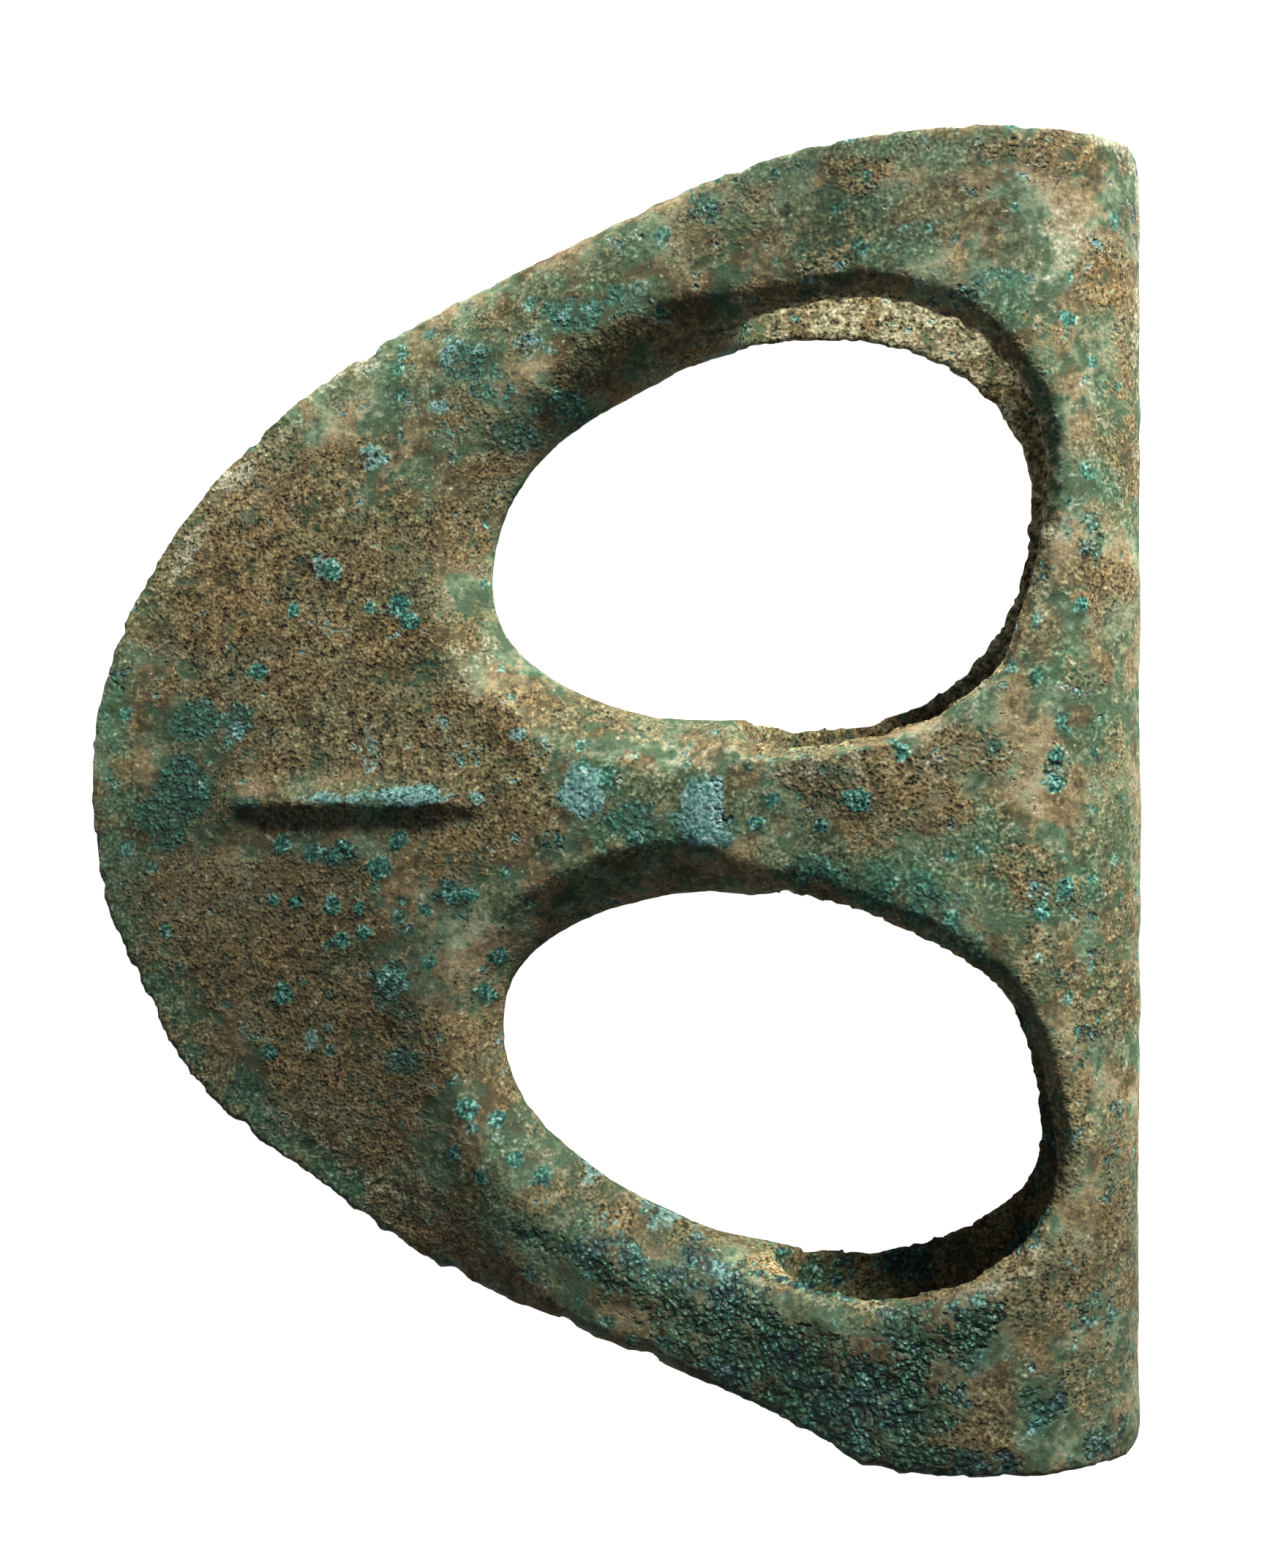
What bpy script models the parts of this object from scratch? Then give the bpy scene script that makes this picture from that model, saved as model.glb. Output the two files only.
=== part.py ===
"""Cast bronze eye axe head, lying on its side.

A D-shaped blade joins a tall oval shaft socket by three rounded arms, which leave two large
oval windows. The shaft hole runs the whole length of the straight back, and the windows break
into it, so the socket is open towards them.

The head is modelled in its own mould plane first: X runs from the back (0) towards the blade
(minus), Y along the shaft hole, and Z across the thickness. Both faces are alike. It is then
tipped until the blade's edge and the socket's belly both touch the ground.
"""
import bmesh
import bpy
import math
import numpy as np

MM = 0.001

# Driving sizes of the casting
SOCKET_LENGTH = 99.0 * MM
HEAD_DEPTH = 84.9 * MM
SOCKET_THICKNESS = 20.0 * MM
SOCKET_WALL = 2.5 * MM
SOCKET_BACK_WALL = 3.0 * MM
BELLY_FROM_BACK = 14.5 * MM

# Shaft hole: how far its narrow front end lies from the back, at either mouth
HOLE_DEPTH_TOP = 32.3 * MM
HOLE_DEPTH_BOTTOM = 27.6 * MM
HOLE_FRONT_ROUND = 3.0 * MM

# Blade and arms
MOUTH_FLAT = 21.0 * MM
EDGE_HALF_THICKNESS = 0.55 * MM
BEVEL_WIDTH = 22.0 * MM
ARM_EDGE_LAND = 1.2 * MM
ARM_EDGE_ROUND = 1.8 * MM
BLADE_BEGINS = 62.0 * MM
ARM_ENDS = 44.0 * MM

# Windows, measured on the mould plane
WINDOW_LENGTH = 42.0 * MM
WINDOW_HEIGHT = 30.2 * MM
WINDOW_BACK_BAND = 8.6 * MM
MIDDLE_ARM = 13.2 * MM
MIDDLE_ARM_BELOW_MIDDLE = 0.5 * MM
WINDOW_ROUND = 4.7 * MM
WINDOW_ROUND_ON_SOCKET = 3.0 * MM
ARMS_BEGIN = 38.0 * MM
SEAM_LAND = 0.4 * MM

# Reach of each rim from its window's centre, every 30 degrees round from the back:
# shares of half the length and half the height
UPPER_RIM = (0.97, 1.07, 1.10, 1.00, 0.90, 0.92, 1.00, 1.10, 1.08, 1.01, 1.02, 0.99)
LOWER_RIM = (0.99, 0.96, 0.92, 0.99, 1.08, 1.07, 0.95, 0.82, 0.78, 0.84, 1.04, 1.12)

# Swollen lip beside the windows' blade ends, and the short rib on the blade
LIP_HEIGHT = 0.45 * MM
LIP_FROM_WINDOW = 3.6 * MM
LIP_WIDTH = 2.2 * MM
RIB_LENGTH = 22.0 * MM
RIB_FROM_BACK = 64.0 * MM
RIB_HALF_WIDTH = 2.0 * MM
RIB_HEIGHT = 1.1 * MM

# Half the thickness from the belly to the blade: share of the depth, share of the half socket
SECTION_STATIONS = (
    (0.17, 1.00),
    (0.25, 0.90),
    (0.33, 0.69),
    (0.40, 0.56),
    (0.49, 0.47),
    (0.60, 0.37),
    (0.73, 0.27),
    (1.00, 0.12),
)

# Outer edge from the top mouth round the blade to the bottom mouth:
# share of the depth, share of half the socket's length
OUTLINE_STATIONS = (
    (0.357, 0.978),
    (0.446, 0.936),
    (0.534, 0.877),
    (0.703, 0.753),
    (0.822, 0.612),
    (0.933, 0.396),
    (0.989, 0.182),
    (1.000, 0.010),
    (0.984, -0.192),
    (0.944, -0.330),
    (0.893, -0.474),
    (0.789, -0.613),
    (0.661, -0.751),
    (0.517, -0.845),
    (0.397, -0.907),
    (0.308, -0.958),
)

# How finely the curves are divided
BACK_STEPS = 8
MOUTH_STEPS = 11
EDGE_STEPS = 34
MIDDLE_STEPS = 24
RIM_RINGS = 4
FIELD_RINGS = 4
EDGE_RINGS = 4
CURVE_POINTS = 360
HOLE_STEPS = 12
HOLE_LENGTH_STEPS = 10
CUT_CLEARANCE = 3.0 * MM


def clear_scene():
    """Remove whatever the opened file holds."""
    for item in list(bpy.data.objects):
        bpy.data.objects.remove(item, do_unlink=True)


def smooth_step(low, high, value):
    """0 below low, 1 above high, with a smooth rise between them."""
    share = np.clip((value - low) / (high - low), 0.0, 1.0)
    return share * share * (3.0 - 2.0 * share)


def curve_through(stations, count):
    """Points along a smooth curve through the stations, by centripetal chords and cubic pieces."""
    points = np.array(stations, float)
    chord = np.sqrt(np.linalg.norm(np.diff(points, axis=0), axis=1))
    knots = np.concatenate([[0.0], np.cumsum(chord)])
    slopes = np.gradient(points, knots, axis=0)
    wanted = np.linspace(0.0, knots[-1], count)
    piece = np.clip(np.searchsorted(knots, wanted, side="right") - 1, 0, len(knots) - 2)
    span = (knots[piece + 1] - knots[piece])[:, None]
    u = (wanted - knots[piece])[:, None] / span
    start, end = points[piece], points[piece + 1]
    return (
        (1 + 2 * u) * (1 - u) ** 2 * start
        + u * (1 - u) ** 2 * span * slopes[piece]
        + u * u * (3 - 2 * u) * end
        + u * u * (u - 1) * span * slopes[piece + 1]
    )


def evenly(points, steps):
    """The same open line with equal distances over the surface between its steps + 1 points."""
    raised = np.column_stack([points, section(-points[:, 0])])
    run = np.concatenate([[0.0], np.cumsum(np.linalg.norm(np.diff(raised, axis=0), axis=1))])
    wanted = np.linspace(0.0, run[-1], steps + 1)
    return np.column_stack([np.interp(wanted, run, points[:, axis]) for axis in (0, 1)])


def straight(start, end):
    """A straight line as close points, closest together at the socket's back."""
    share = np.linspace(0.0, 1.0, CURVE_POINTS)[:, None] ** 2
    if start[0] < end[0]:
        share = 1.0 - share[::-1]
    return np.array(start) + share * (np.array(end) - np.array(start))


def outer_edge():
    """The whole outer edge of the arms and the blade, from mouth to mouth."""
    half = SOCKET_LENGTH / 2
    stations = [(-MOUTH_FLAT, half)]
    stations += [(-HEAD_DEPTH * depth, half * height) for depth, height in OUTLINE_STATIONS]
    stations += [(-MOUTH_FLAT, -half)]
    return curve_through(stations, CURVE_POINTS)


def window_centre(side):
    """Centre of the upper (side 1) or lower (side -1) window."""
    return np.array([
        -(WINDOW_BACK_BAND + WINDOW_LENGTH / 2),
        side * (MIDDLE_ARM / 2 + WINDOW_HEIGHT / 2) - MIDDLE_ARM_BELOW_MIDDLE,
    ])


def window_radius(side, angle):
    """Distance from a window's centre to its rim: an oval whose reach swells and shrinks round it."""
    across = np.cos(angle) / (WINDOW_LENGTH / 2)
    upward = np.sin(angle) / (WINDOW_HEIGHT / 2)
    turn = np.arctan2(upward, across) / (2 * math.pi)
    shares = np.array(UPPER_RIM if side > 0 else LOWER_RIM)
    at = turn * len(shares)
    first = np.floor(at)
    u = at - first
    pick = [shares[(first.astype(int) + step) % len(shares)] for step in (-1, 0, 1, 2)]
    share = (
        pick[1]
        + 0.5 * u * (pick[2] - pick[0])
        + u**2 * (pick[0] - 2.5 * pick[1] + 2.0 * pick[2] - 0.5 * pick[3])
        + 0.5 * u**3 * (3.0 * (pick[1] - pick[2]) + pick[3] - pick[0])
    )
    return share / np.hypot(across, upward)


def window_rim(side):
    """A window's closed rim on the mould plane."""
    angle = np.linspace(0.0, 2 * math.pi, CURVE_POINTS, endpoint=False)
    radius = window_radius(side, angle)
    return window_centre(side) + radius[:, None] * np.column_stack([np.cos(angle), np.sin(angle)])


def distance_to(line, points):
    """Shortest distance from each point to a line that is given by close points."""
    return np.min(np.linalg.norm(points[:, None, :] - line[None, :, :], axis=2), axis=1)


def section(depth):
    """Half the thickness at a distance from the back, before any edge is rounded."""
    belly = SOCKET_THICKNESS / 2
    toward_back = np.clip((BELLY_FROM_BACK - depth) / BELLY_FROM_BACK, 0.0, 1.0)
    back = belly * np.sqrt(1.0 - toward_back**2)
    stations = np.array(SECTION_STATIONS)
    stations[0, 0] = BELLY_FROM_BACK / HEAD_DEPTH
    profile = curve_through(stations, CURVE_POINTS)
    blade = belly * np.interp(depth / HEAD_DEPTH, profile[:, 0], profile[:, 1])
    return np.where(depth < BELLY_FROM_BACK, back, blade)


def half_thickness(points):
    """Height of the near face above the mould plane, at points of the plan."""
    depth = -points[:, 0]
    full = section(depth)
    to_window = np.minimum(
        distance_to(window_rim(1), points),
        distance_to(window_rim(-1), points),
    )
    to_edge = distance_to(outer_edge(), points)

    hole_front = (HOLE_DEPTH_TOP + HOLE_DEPTH_BOTTOM) / 2
    on_socket = 1.0 - smooth_step(hole_front, ARM_ENDS, depth)
    on_blade = smooth_step(ARM_ENDS, BLADE_BEGINS, depth)
    land = ARM_EDGE_LAND + (EDGE_HALF_THICKNESS - ARM_EDGE_LAND) * on_blade
    land = np.minimum(land + (full - land) * on_socket, full)
    reach = ARM_EDGE_ROUND + (BEVEL_WIDTH - ARM_EDGE_ROUND) * on_blade
    power = 2.0 - 0.8 * on_blade
    short = 1.0 - np.clip(to_edge / reach, 0.0, 1.0)
    height = land + (full - land) * (1.0 - short**power) ** (1.0 / power)

    lip = LIP_HEIGHT * np.exp(-(((to_window - LIP_FROM_WINDOW) / LIP_WIDTH) ** 2))
    height = height + lip * smooth_step(ARM_ENDS, window_reach(), depth)

    along = np.clip(1.0 - ((depth - RIB_FROM_BACK) / (RIB_LENGTH / 2)) ** 2, 0.0, 1.0)
    off_rib = points[:, 1] + MIDDLE_ARM_BELOW_MIDDLE
    across = np.clip(1.0 - (off_rib / RIB_HALF_WIDTH) ** 2, 0.0, 1.0)
    height = height + RIB_HEIGHT * np.sqrt(along) * across**1.5

    reach, power = window_rounding(depth)
    inward = 1.0 - np.clip(to_window / reach, 0.0, 1.0)
    rounding = (1.0 - inward**power) ** (1.0 / power)
    return SEAM_LAND + (height - SEAM_LAND) * rounding


def window_rounding(depth):
    """Width and power of the rounding beside a window: short and full on the socket."""
    on_arm = smooth_step(HOLE_DEPTH_BOTTOM, ARMS_BEGIN, depth)
    width = WINDOW_ROUND_ON_SOCKET + (WINDOW_ROUND - WINDOW_ROUND_ON_SOCKET) * on_arm
    return width, 2.0 - 0.8 * on_arm


def window_reach():
    """Distance from the back to the windows' blade ends."""
    return WINDOW_BACK_BAND + WINDOW_LENGTH


def half_boundary(side):
    """Boundary of the upper or lower half of the plan: back, mouth, outer edge, middle line."""
    half = side * SOCKET_LENGTH / 2
    edge = outer_edge() if side > 0 else outer_edge()[::-1]
    middle_line = -MIDDLE_ARM_BELOW_MIDDLE
    rise = edge[:, 1] - middle_line
    beyond = np.nonzero(rise * side < 0.0)[0][0]
    share = rise[beyond - 1] / (rise[beyond - 1] - rise[beyond])
    tip_x = edge[beyond - 1, 0] + share * (edge[beyond, 0] - edge[beyond - 1, 0])
    own_edge = np.vstack([edge[:beyond], [tip_x, middle_line]])
    back = evenly(straight((0.0, middle_line), (0.0, half)), BACK_STEPS)
    mouth = evenly(straight((0.0, half), (-MOUTH_FLAT, half)), MOUTH_STEPS)
    middle = evenly(straight((tip_x, middle_line), (0.0, middle_line)), MIDDLE_STEPS)
    parts = [back, mouth, evenly(own_edge, EDGE_STEPS), middle]
    return np.vstack([line[:-1] for line in parts])


def ring_shares(lengths, rounding):
    """Where the rings cross each ray: close together at the window's rim and at the outer edge."""
    rim = np.minimum(rounding, 0.6 * lengths)
    edge = np.minimum(ARM_EDGE_ROUND, 0.30 * lengths)
    field = lengths - rim - edge
    quarter = np.linspace(0.0, math.pi / 2, RIM_RINGS + 1)
    runs = [rim * (1.0 - math.cos(a)) for a in quarter]
    runs += [rim + field * k / FIELD_RINGS for k in range(1, FIELD_RINGS + 1)]
    quarter = np.linspace(0.0, math.pi / 2, EDGE_RINGS + 1)[1:]
    runs += [rim + field + edge * math.sin(a) for a in quarter]
    return np.array(runs) / lengths


def plan_of_half(side):
    """Grid of plan points between one window's rim and its half's boundary, ring by ring."""
    centre = window_centre(side)
    outer = half_boundary(side)
    ray = outer - centre
    angle = np.arctan2(ray[:, 1], ray[:, 0])
    reach = np.linalg.norm(ray, axis=1)
    inner_reach = window_radius(side, angle)
    inner = centre + ray * (inner_reach / reach)[:, None]
    shares = ring_shares(reach - inner_reach, window_rounding(-inner[:, 0])[0])
    return inner[None] + shares[:, :, None] * (outer - inner)[None]


def add_half(mesh, side):
    """Add both faces and the walls of one half of the head to an open bmesh."""
    plan = plan_of_half(side)
    rings, around = plan.shape[:2]
    height = half_thickness(plan.reshape(-1, 2)).reshape(rings, around)
    faces = {}
    for face in (1, -1):
        faces[face] = [
            [mesh.verts.new((x, y, face * z)) for (x, y), z in zip(plan[r], height[r])]
            for r in range(rings)
        ]
    for a in range(around):
        b = (a + 1) % around
        for face in (1, -1):
            grid = faces[face]
            for r in range(rings - 1):
                quad = [grid[r][a], grid[r + 1][a], grid[r + 1][b], grid[r][b]]
                mesh.faces.new(quad if face * side > 0 else quad[::-1])
        near, far = faces[1], faces[-1]
        rim = [near[0][b], far[0][b], far[0][a], near[0][a]]
        mesh.faces.new(rim if side > 0 else rim[::-1])
        if BACK_STEPS <= a < BACK_STEPS + MOUTH_STEPS + EDGE_STEPS:
            wall = [near[-1][a], far[-1][a], far[-1][b], near[-1][b]]
            mesh.faces.new(wall if side > 0 else wall[::-1])


def hole_loop(front, height):
    """Closed teardrop section of the shaft hole at one height: back round, belly, narrow front."""
    back = SOCKET_BACK_WALL
    turn = np.linspace(0.0, math.pi, 2 * HOLE_STEPS + 1)
    depth = back + (front - back) * (1.0 - np.cos(turn)) / 2
    from_belly = np.clip((BELLY_FROM_BACK - depth) / (BELLY_FROM_BACK - back), 0.0, 1.0)
    belly = SOCKET_THICKNESS / 2 - SOCKET_WALL
    behind = belly * np.sqrt(1.0 - from_belly**2)
    blunt = 1.0 - np.clip((front - depth) / HOLE_FRONT_ROUND, 0.0, 1.0)
    ahead = (section(depth) - SOCKET_WALL) * np.sqrt(1.0 - blunt**2)
    half = np.where(depth < BELLY_FROM_BACK, behind, ahead)
    upper = [(-d, height, h) for d, h in zip(depth, half)]
    lower = [(-d, height, -h) for d, h in zip(depth[1:-1], half[1:-1])]
    return upper + lower[::-1]


def shaft_hole_cutter():
    """Solid that fills the shaft hole and stands out of both mouths."""
    half = SOCKET_LENGTH / 2
    lean = (HOLE_DEPTH_TOP - HOLE_DEPTH_BOTTOM) / SOCKET_LENGTH
    mesh = bmesh.new()
    loops = []
    for height in np.linspace(-half - CUT_CLEARANCE, half + CUT_CLEARANCE, HOLE_LENGTH_STEPS + 1):
        front = HOLE_DEPTH_BOTTOM + lean * (height + half)
        loops.append([mesh.verts.new(point) for point in hole_loop(front, height)])
    count = len(loops[0])
    for low, high in zip(loops, loops[1:]):
        for a in range(count):
            b = (a + 1) % count
            mesh.faces.new([low[a], low[b], high[b], high[a]])
    mesh.faces.new(loops[0])
    mesh.faces.new(loops[-1][::-1])
    bmesh.ops.triangulate(mesh, faces=mesh.faces)
    bmesh.ops.recalc_face_normals(mesh, faces=mesh.faces)
    cutter = object_from(mesh, "shaft_hole_cutter")
    cutter.hide_render = True
    cutter.display_type = "WIRE"
    return cutter


def object_from(mesh, name):
    """Turn a bmesh into a linked object of the same name."""
    data = bpy.data.meshes.new(name)
    mesh.to_mesh(data)
    mesh.free()
    made = bpy.data.objects.new(name, data)
    bpy.context.scene.collection.objects.link(made)
    return made


def bronze():
    """Weathered bronze, brown with a green cast."""
    material = bpy.data.materials.new("patinated_bronze")
    material.use_nodes = True
    shader = material.node_tree.nodes["Principled BSDF"]
    shader.inputs["Base Color"].default_value = (0.137, 0.128, 0.073, 1.0)
    shader.inputs["Roughness"].default_value = 0.82
    shader.inputs["Metallic"].default_value = 0.0
    return material


def lay_down(head, cutter):
    """Tip the head until its blade edge and its belly touch the ground, centred on the origin."""
    corners = np.array([vertex.co for vertex in head.data.vertices])
    ahead = corners[corners[:, 0] < -ARM_ENDS]
    rise = ahead[:, 2] + SOCKET_THICKNESS / 2
    tilt = np.min(np.arctan2(rise, -BELLY_FROM_BACK - ahead[:, 0]))
    turned_x = corners[:, 0] * math.cos(tilt) - corners[:, 2] * math.sin(tilt)
    turned_z = corners[:, 0] * math.sin(tilt) + corners[:, 2] * math.cos(tilt)
    middle_x = (turned_x.min() + turned_x.max()) / 2
    middle_y = (corners[:, 1].min() + corners[:, 1].max()) / 2
    for item in (head, cutter):
        item.rotation_euler = (0.0, -tilt, 0.0)
        item.location = (-middle_x, -middle_y, -turned_z.min())


def axe_head():
    """Build the whole casting."""
    mesh = bmesh.new()
    add_half(mesh, 1)
    add_half(mesh, -1)
    bmesh.ops.remove_doubles(mesh, verts=mesh.verts, dist=0.001 * MM)
    bmesh.ops.triangulate(mesh, faces=mesh.faces)
    bmesh.ops.recalc_face_normals(mesh, faces=mesh.faces)
    head = object_from(mesh, "axe_head")
    head.data.materials.append(bronze())
    cutter = shaft_hole_cutter()
    hole = head.modifiers.new("shaft_hole", "BOOLEAN")
    hole.operation = "DIFFERENCE"
    hole.solver = "EXACT"
    hole.object = cutter
    head.data.shade_smooth()
    head.data.set_sharp_from_angle(angle=math.radians(40.0))
    lay_down(head, cutter)
    return head


clear_scene()
axe_head()
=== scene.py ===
"""Scene of an ancient bronze eye axe head, lying on a pale table under a soft key light.

The head is one bronze casting: a D-shaped blade, a tall oval shaft socket along its straight
back, three rounded arms and two oval windows that break into the shaft hole. Centuries in the
ground have grown green and blue copper salts on it and caked it with fine brown soil.

Shapes are worked out in the casting's own mould frame, in millimetres: x runs from the socket's
back (0) towards the cutting edge (minus), y along the shaft hole, z across the thickness, with
the mould seam at 0. At the end the vertices are tipped into the row's frame, in metres.
"""
import logging
import math
from dataclasses import dataclass, field
from enum import Enum
from typing import Any

import bpy
import numpy as np
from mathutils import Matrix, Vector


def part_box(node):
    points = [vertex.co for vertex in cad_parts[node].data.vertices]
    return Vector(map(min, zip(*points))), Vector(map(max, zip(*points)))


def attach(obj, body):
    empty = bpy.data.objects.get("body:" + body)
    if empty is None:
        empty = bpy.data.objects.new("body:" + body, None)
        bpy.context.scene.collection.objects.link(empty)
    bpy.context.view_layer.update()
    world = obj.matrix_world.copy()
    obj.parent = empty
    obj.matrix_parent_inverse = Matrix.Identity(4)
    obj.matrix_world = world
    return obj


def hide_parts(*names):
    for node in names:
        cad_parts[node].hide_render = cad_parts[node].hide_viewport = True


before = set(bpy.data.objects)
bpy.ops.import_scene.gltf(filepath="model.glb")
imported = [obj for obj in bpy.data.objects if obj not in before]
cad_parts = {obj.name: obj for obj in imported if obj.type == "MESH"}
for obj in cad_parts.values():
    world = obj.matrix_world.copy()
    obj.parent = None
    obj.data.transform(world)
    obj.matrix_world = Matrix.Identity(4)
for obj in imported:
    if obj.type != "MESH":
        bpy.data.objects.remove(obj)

LOG = logging.getLogger("axe_head")
MM = 0.001


class Growth(Enum):
    """What the ground has left on the bronze; pale is partly painted highlight on lit rims and
    edges.
    """

    EARTH = "earth"
    GREEN = "green"
    CRUST = "crust"
    TEAL = "teal"
    RUST = "rust"
    PALE = "pale"
    BLOOM = "bloom"


@dataclass(frozen=True)
class Patch:
    """One place where a growth is thick: an oval on the shown face, in the mould frame.

    Attributes:
        growth: What grows there.
        x, y: Middle of the oval, in millimetres.
        half_length, half_width: Its half axes, in millimetres.
        turn: Degrees from x, counter-clockwise.
        amount: How thick it is, from 0 to 1.
    """

    growth: Growth
    x: float
    y: float
    half_length: float
    half_width: float
    turn: float
    amount: float

    def cover(self, plan: np.ndarray, ragged: np.ndarray) -> np.ndarray:
        """Thickness of the growth at points of the plan.

        The oval's own radius (1 on its rim) is shifted by a ragged field, then falls smoothly
        from the full amount at 0.65 to nothing at 1.35.

        Args:
            plan: (n, 2) points in millimetres.
            ragged: (n,) noise that frays the rim.

        Returns:
            (n,) values from 0 to the patch's amount.
        """
        angle = math.radians(self.turn)
        away = plan - np.array([self.x, self.y])
        along = (away[:, 0] * math.cos(angle) + away[:, 1] * math.sin(angle)) / self.half_length
        across = (away[:, 1] * math.cos(angle) - away[:, 0] * math.sin(angle)) / self.half_width
        radius = np.hypot(along, across) + 0.35 * ragged
        return self.amount * smooth_step(1.35, 0.65, radius)


def smooth_step(low: float, high: float, value: np.ndarray) -> np.ndarray:
    """0 at low, 1 at high, with a smooth cubic rise between them; low may be above high."""
    share = np.clip((value - low) / (high - low), 0.0, 1.0)
    return share * share * (3.0 - 2.0 * share)


class Noise:
    """Repeatable noise in space, worked out for whole arrays of points at once.

    Attributes:
        seed_shift: How far each seed moves the lattice, in cells.
        fade: Strength of each layer of detail as a share of the one before.
        gain: Brings the layered sum's reach back to about -1 to 1.
        layer_seeds: Step from one layer's seed to the next.
    """

    seed_shift = 37.3
    fade = 0.55
    gain = 1.6
    layer_seeds = 11

    @staticmethod
    def hashed(cell: np.ndarray, seed: int) -> np.ndarray:
        """Number from 0 to 1 for each whole-numbered cell.

        The three cell numbers and the seed are each multiplied by a large odd number and
        combined bit by bit, then mixed twice so that neighbouring cells differ fully.

        Args:
            cell: (n, 3) whole numbers.
            seed: Chooses one of many noises.

        Returns:
            (n,) values from 0 to 1.
        """
        c = cell.astype(np.int64).astype(np.uint64)
        h = c[:, 0] * np.uint64(73856093) ^ c[:, 1] * np.uint64(19349663)
        h = h ^ c[:, 2] * np.uint64(83492791) ^ np.uint64(seed * 2654435761 % 2**32)
        h = (h ^ (h >> np.uint64(15))) * np.uint64(2246822519) & np.uint64(0xFFFFFFFF)
        h = (h ^ (h >> np.uint64(13))) * np.uint64(3266489917) & np.uint64(0xFFFFFFFF)
        return ((h ^ (h >> np.uint64(16))) & np.uint64(0xFFFFFF)).astype(float) / 0xFFFFFF

    @classmethod
    def value(cls, points: np.ndarray, size: float, seed: int) -> np.ndarray:
        """Smooth noise from -1 to 1 whose lumps are about size millimetres wide.

        Each corner of a cubic lattice has a hashed number, and a point takes the smoothed
        mean of the eight corners round it.

        Args:
            points: (n, 3) in millimetres.
            size: Width of the lumps in millimetres.
            seed: Chooses one of many noises.

        Returns:
            (n,) values from -1 to 1.
        """
        scaled = points / size + cls.seed_shift * seed
        cell = np.floor(scaled)
        part = scaled - cell
        part = part * part * (3.0 - 2.0 * part)
        total = np.zeros(len(points))
        for corner in np.ndindex(2, 2, 2):
            near = np.where(np.array(corner) == 1, part, 1.0 - part).prod(axis=1)
            total += near * cls.hashed(cell + np.array(corner), seed)
        return 2.0 * total - 1.0

    @classmethod
    def layered(cls, points: np.ndarray, size: float, seed: int, layers: int = 4) -> np.ndarray:
        """Sum of smooth noises, each half as wide and a little over half as strong as the last.

        Args:
            points: (n, 3) in millimetres.
            size: Width of the first layer's lumps in millimetres.
            seed: Chooses one of many noises.
            layers: How many noises are summed.

        Returns:
            (n,) values, mostly from -1 to 1.
        """
        total = np.zeros(len(points))
        reach = 0.0
        for layer in range(layers):
            strength = cls.fade**layer
            own_seed = seed + cls.layer_seeds * layer
            total += strength * cls.value(points, size / 2**layer, own_seed)
            reach += strength
        return total / reach * cls.gain

    @classmethod
    def cells(cls, points: np.ndarray, size: float, seed: int) -> tuple[np.ndarray, np.ndarray]:
        """Distance to the nearest of many scattered seeds, and a number of that seed's own.

        Every cubic cell holds one seed at a hashed place; the cells round a point are searched.

        Args:
            points: (n, 3) in millimetres.
            size: Mean distance between seeds in millimetres.
            seed: Chooses the scatter.

        Returns:
            (n,) distances as shares of size, and (n,) numbers from 0 to 1.
        """
        scaled = points / size
        cell = np.floor(scaled)
        shortest = np.full(len(points), np.inf)
        own = np.zeros(len(points))
        for step in np.ndindex(3, 3, 3):
            there = cell + np.array(step) - 1.0
            place = np.column_stack([cls.hashed(there, seed + axis) for axis in range(3)])
            distance = np.linalg.norm(there + place - scaled, axis=1)
            closer = distance < shortest
            shortest = np.where(closer, distance, shortest)
            own = np.where(closer, cls.hashed(there, seed + 7), own)
        return shortest, own


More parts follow.
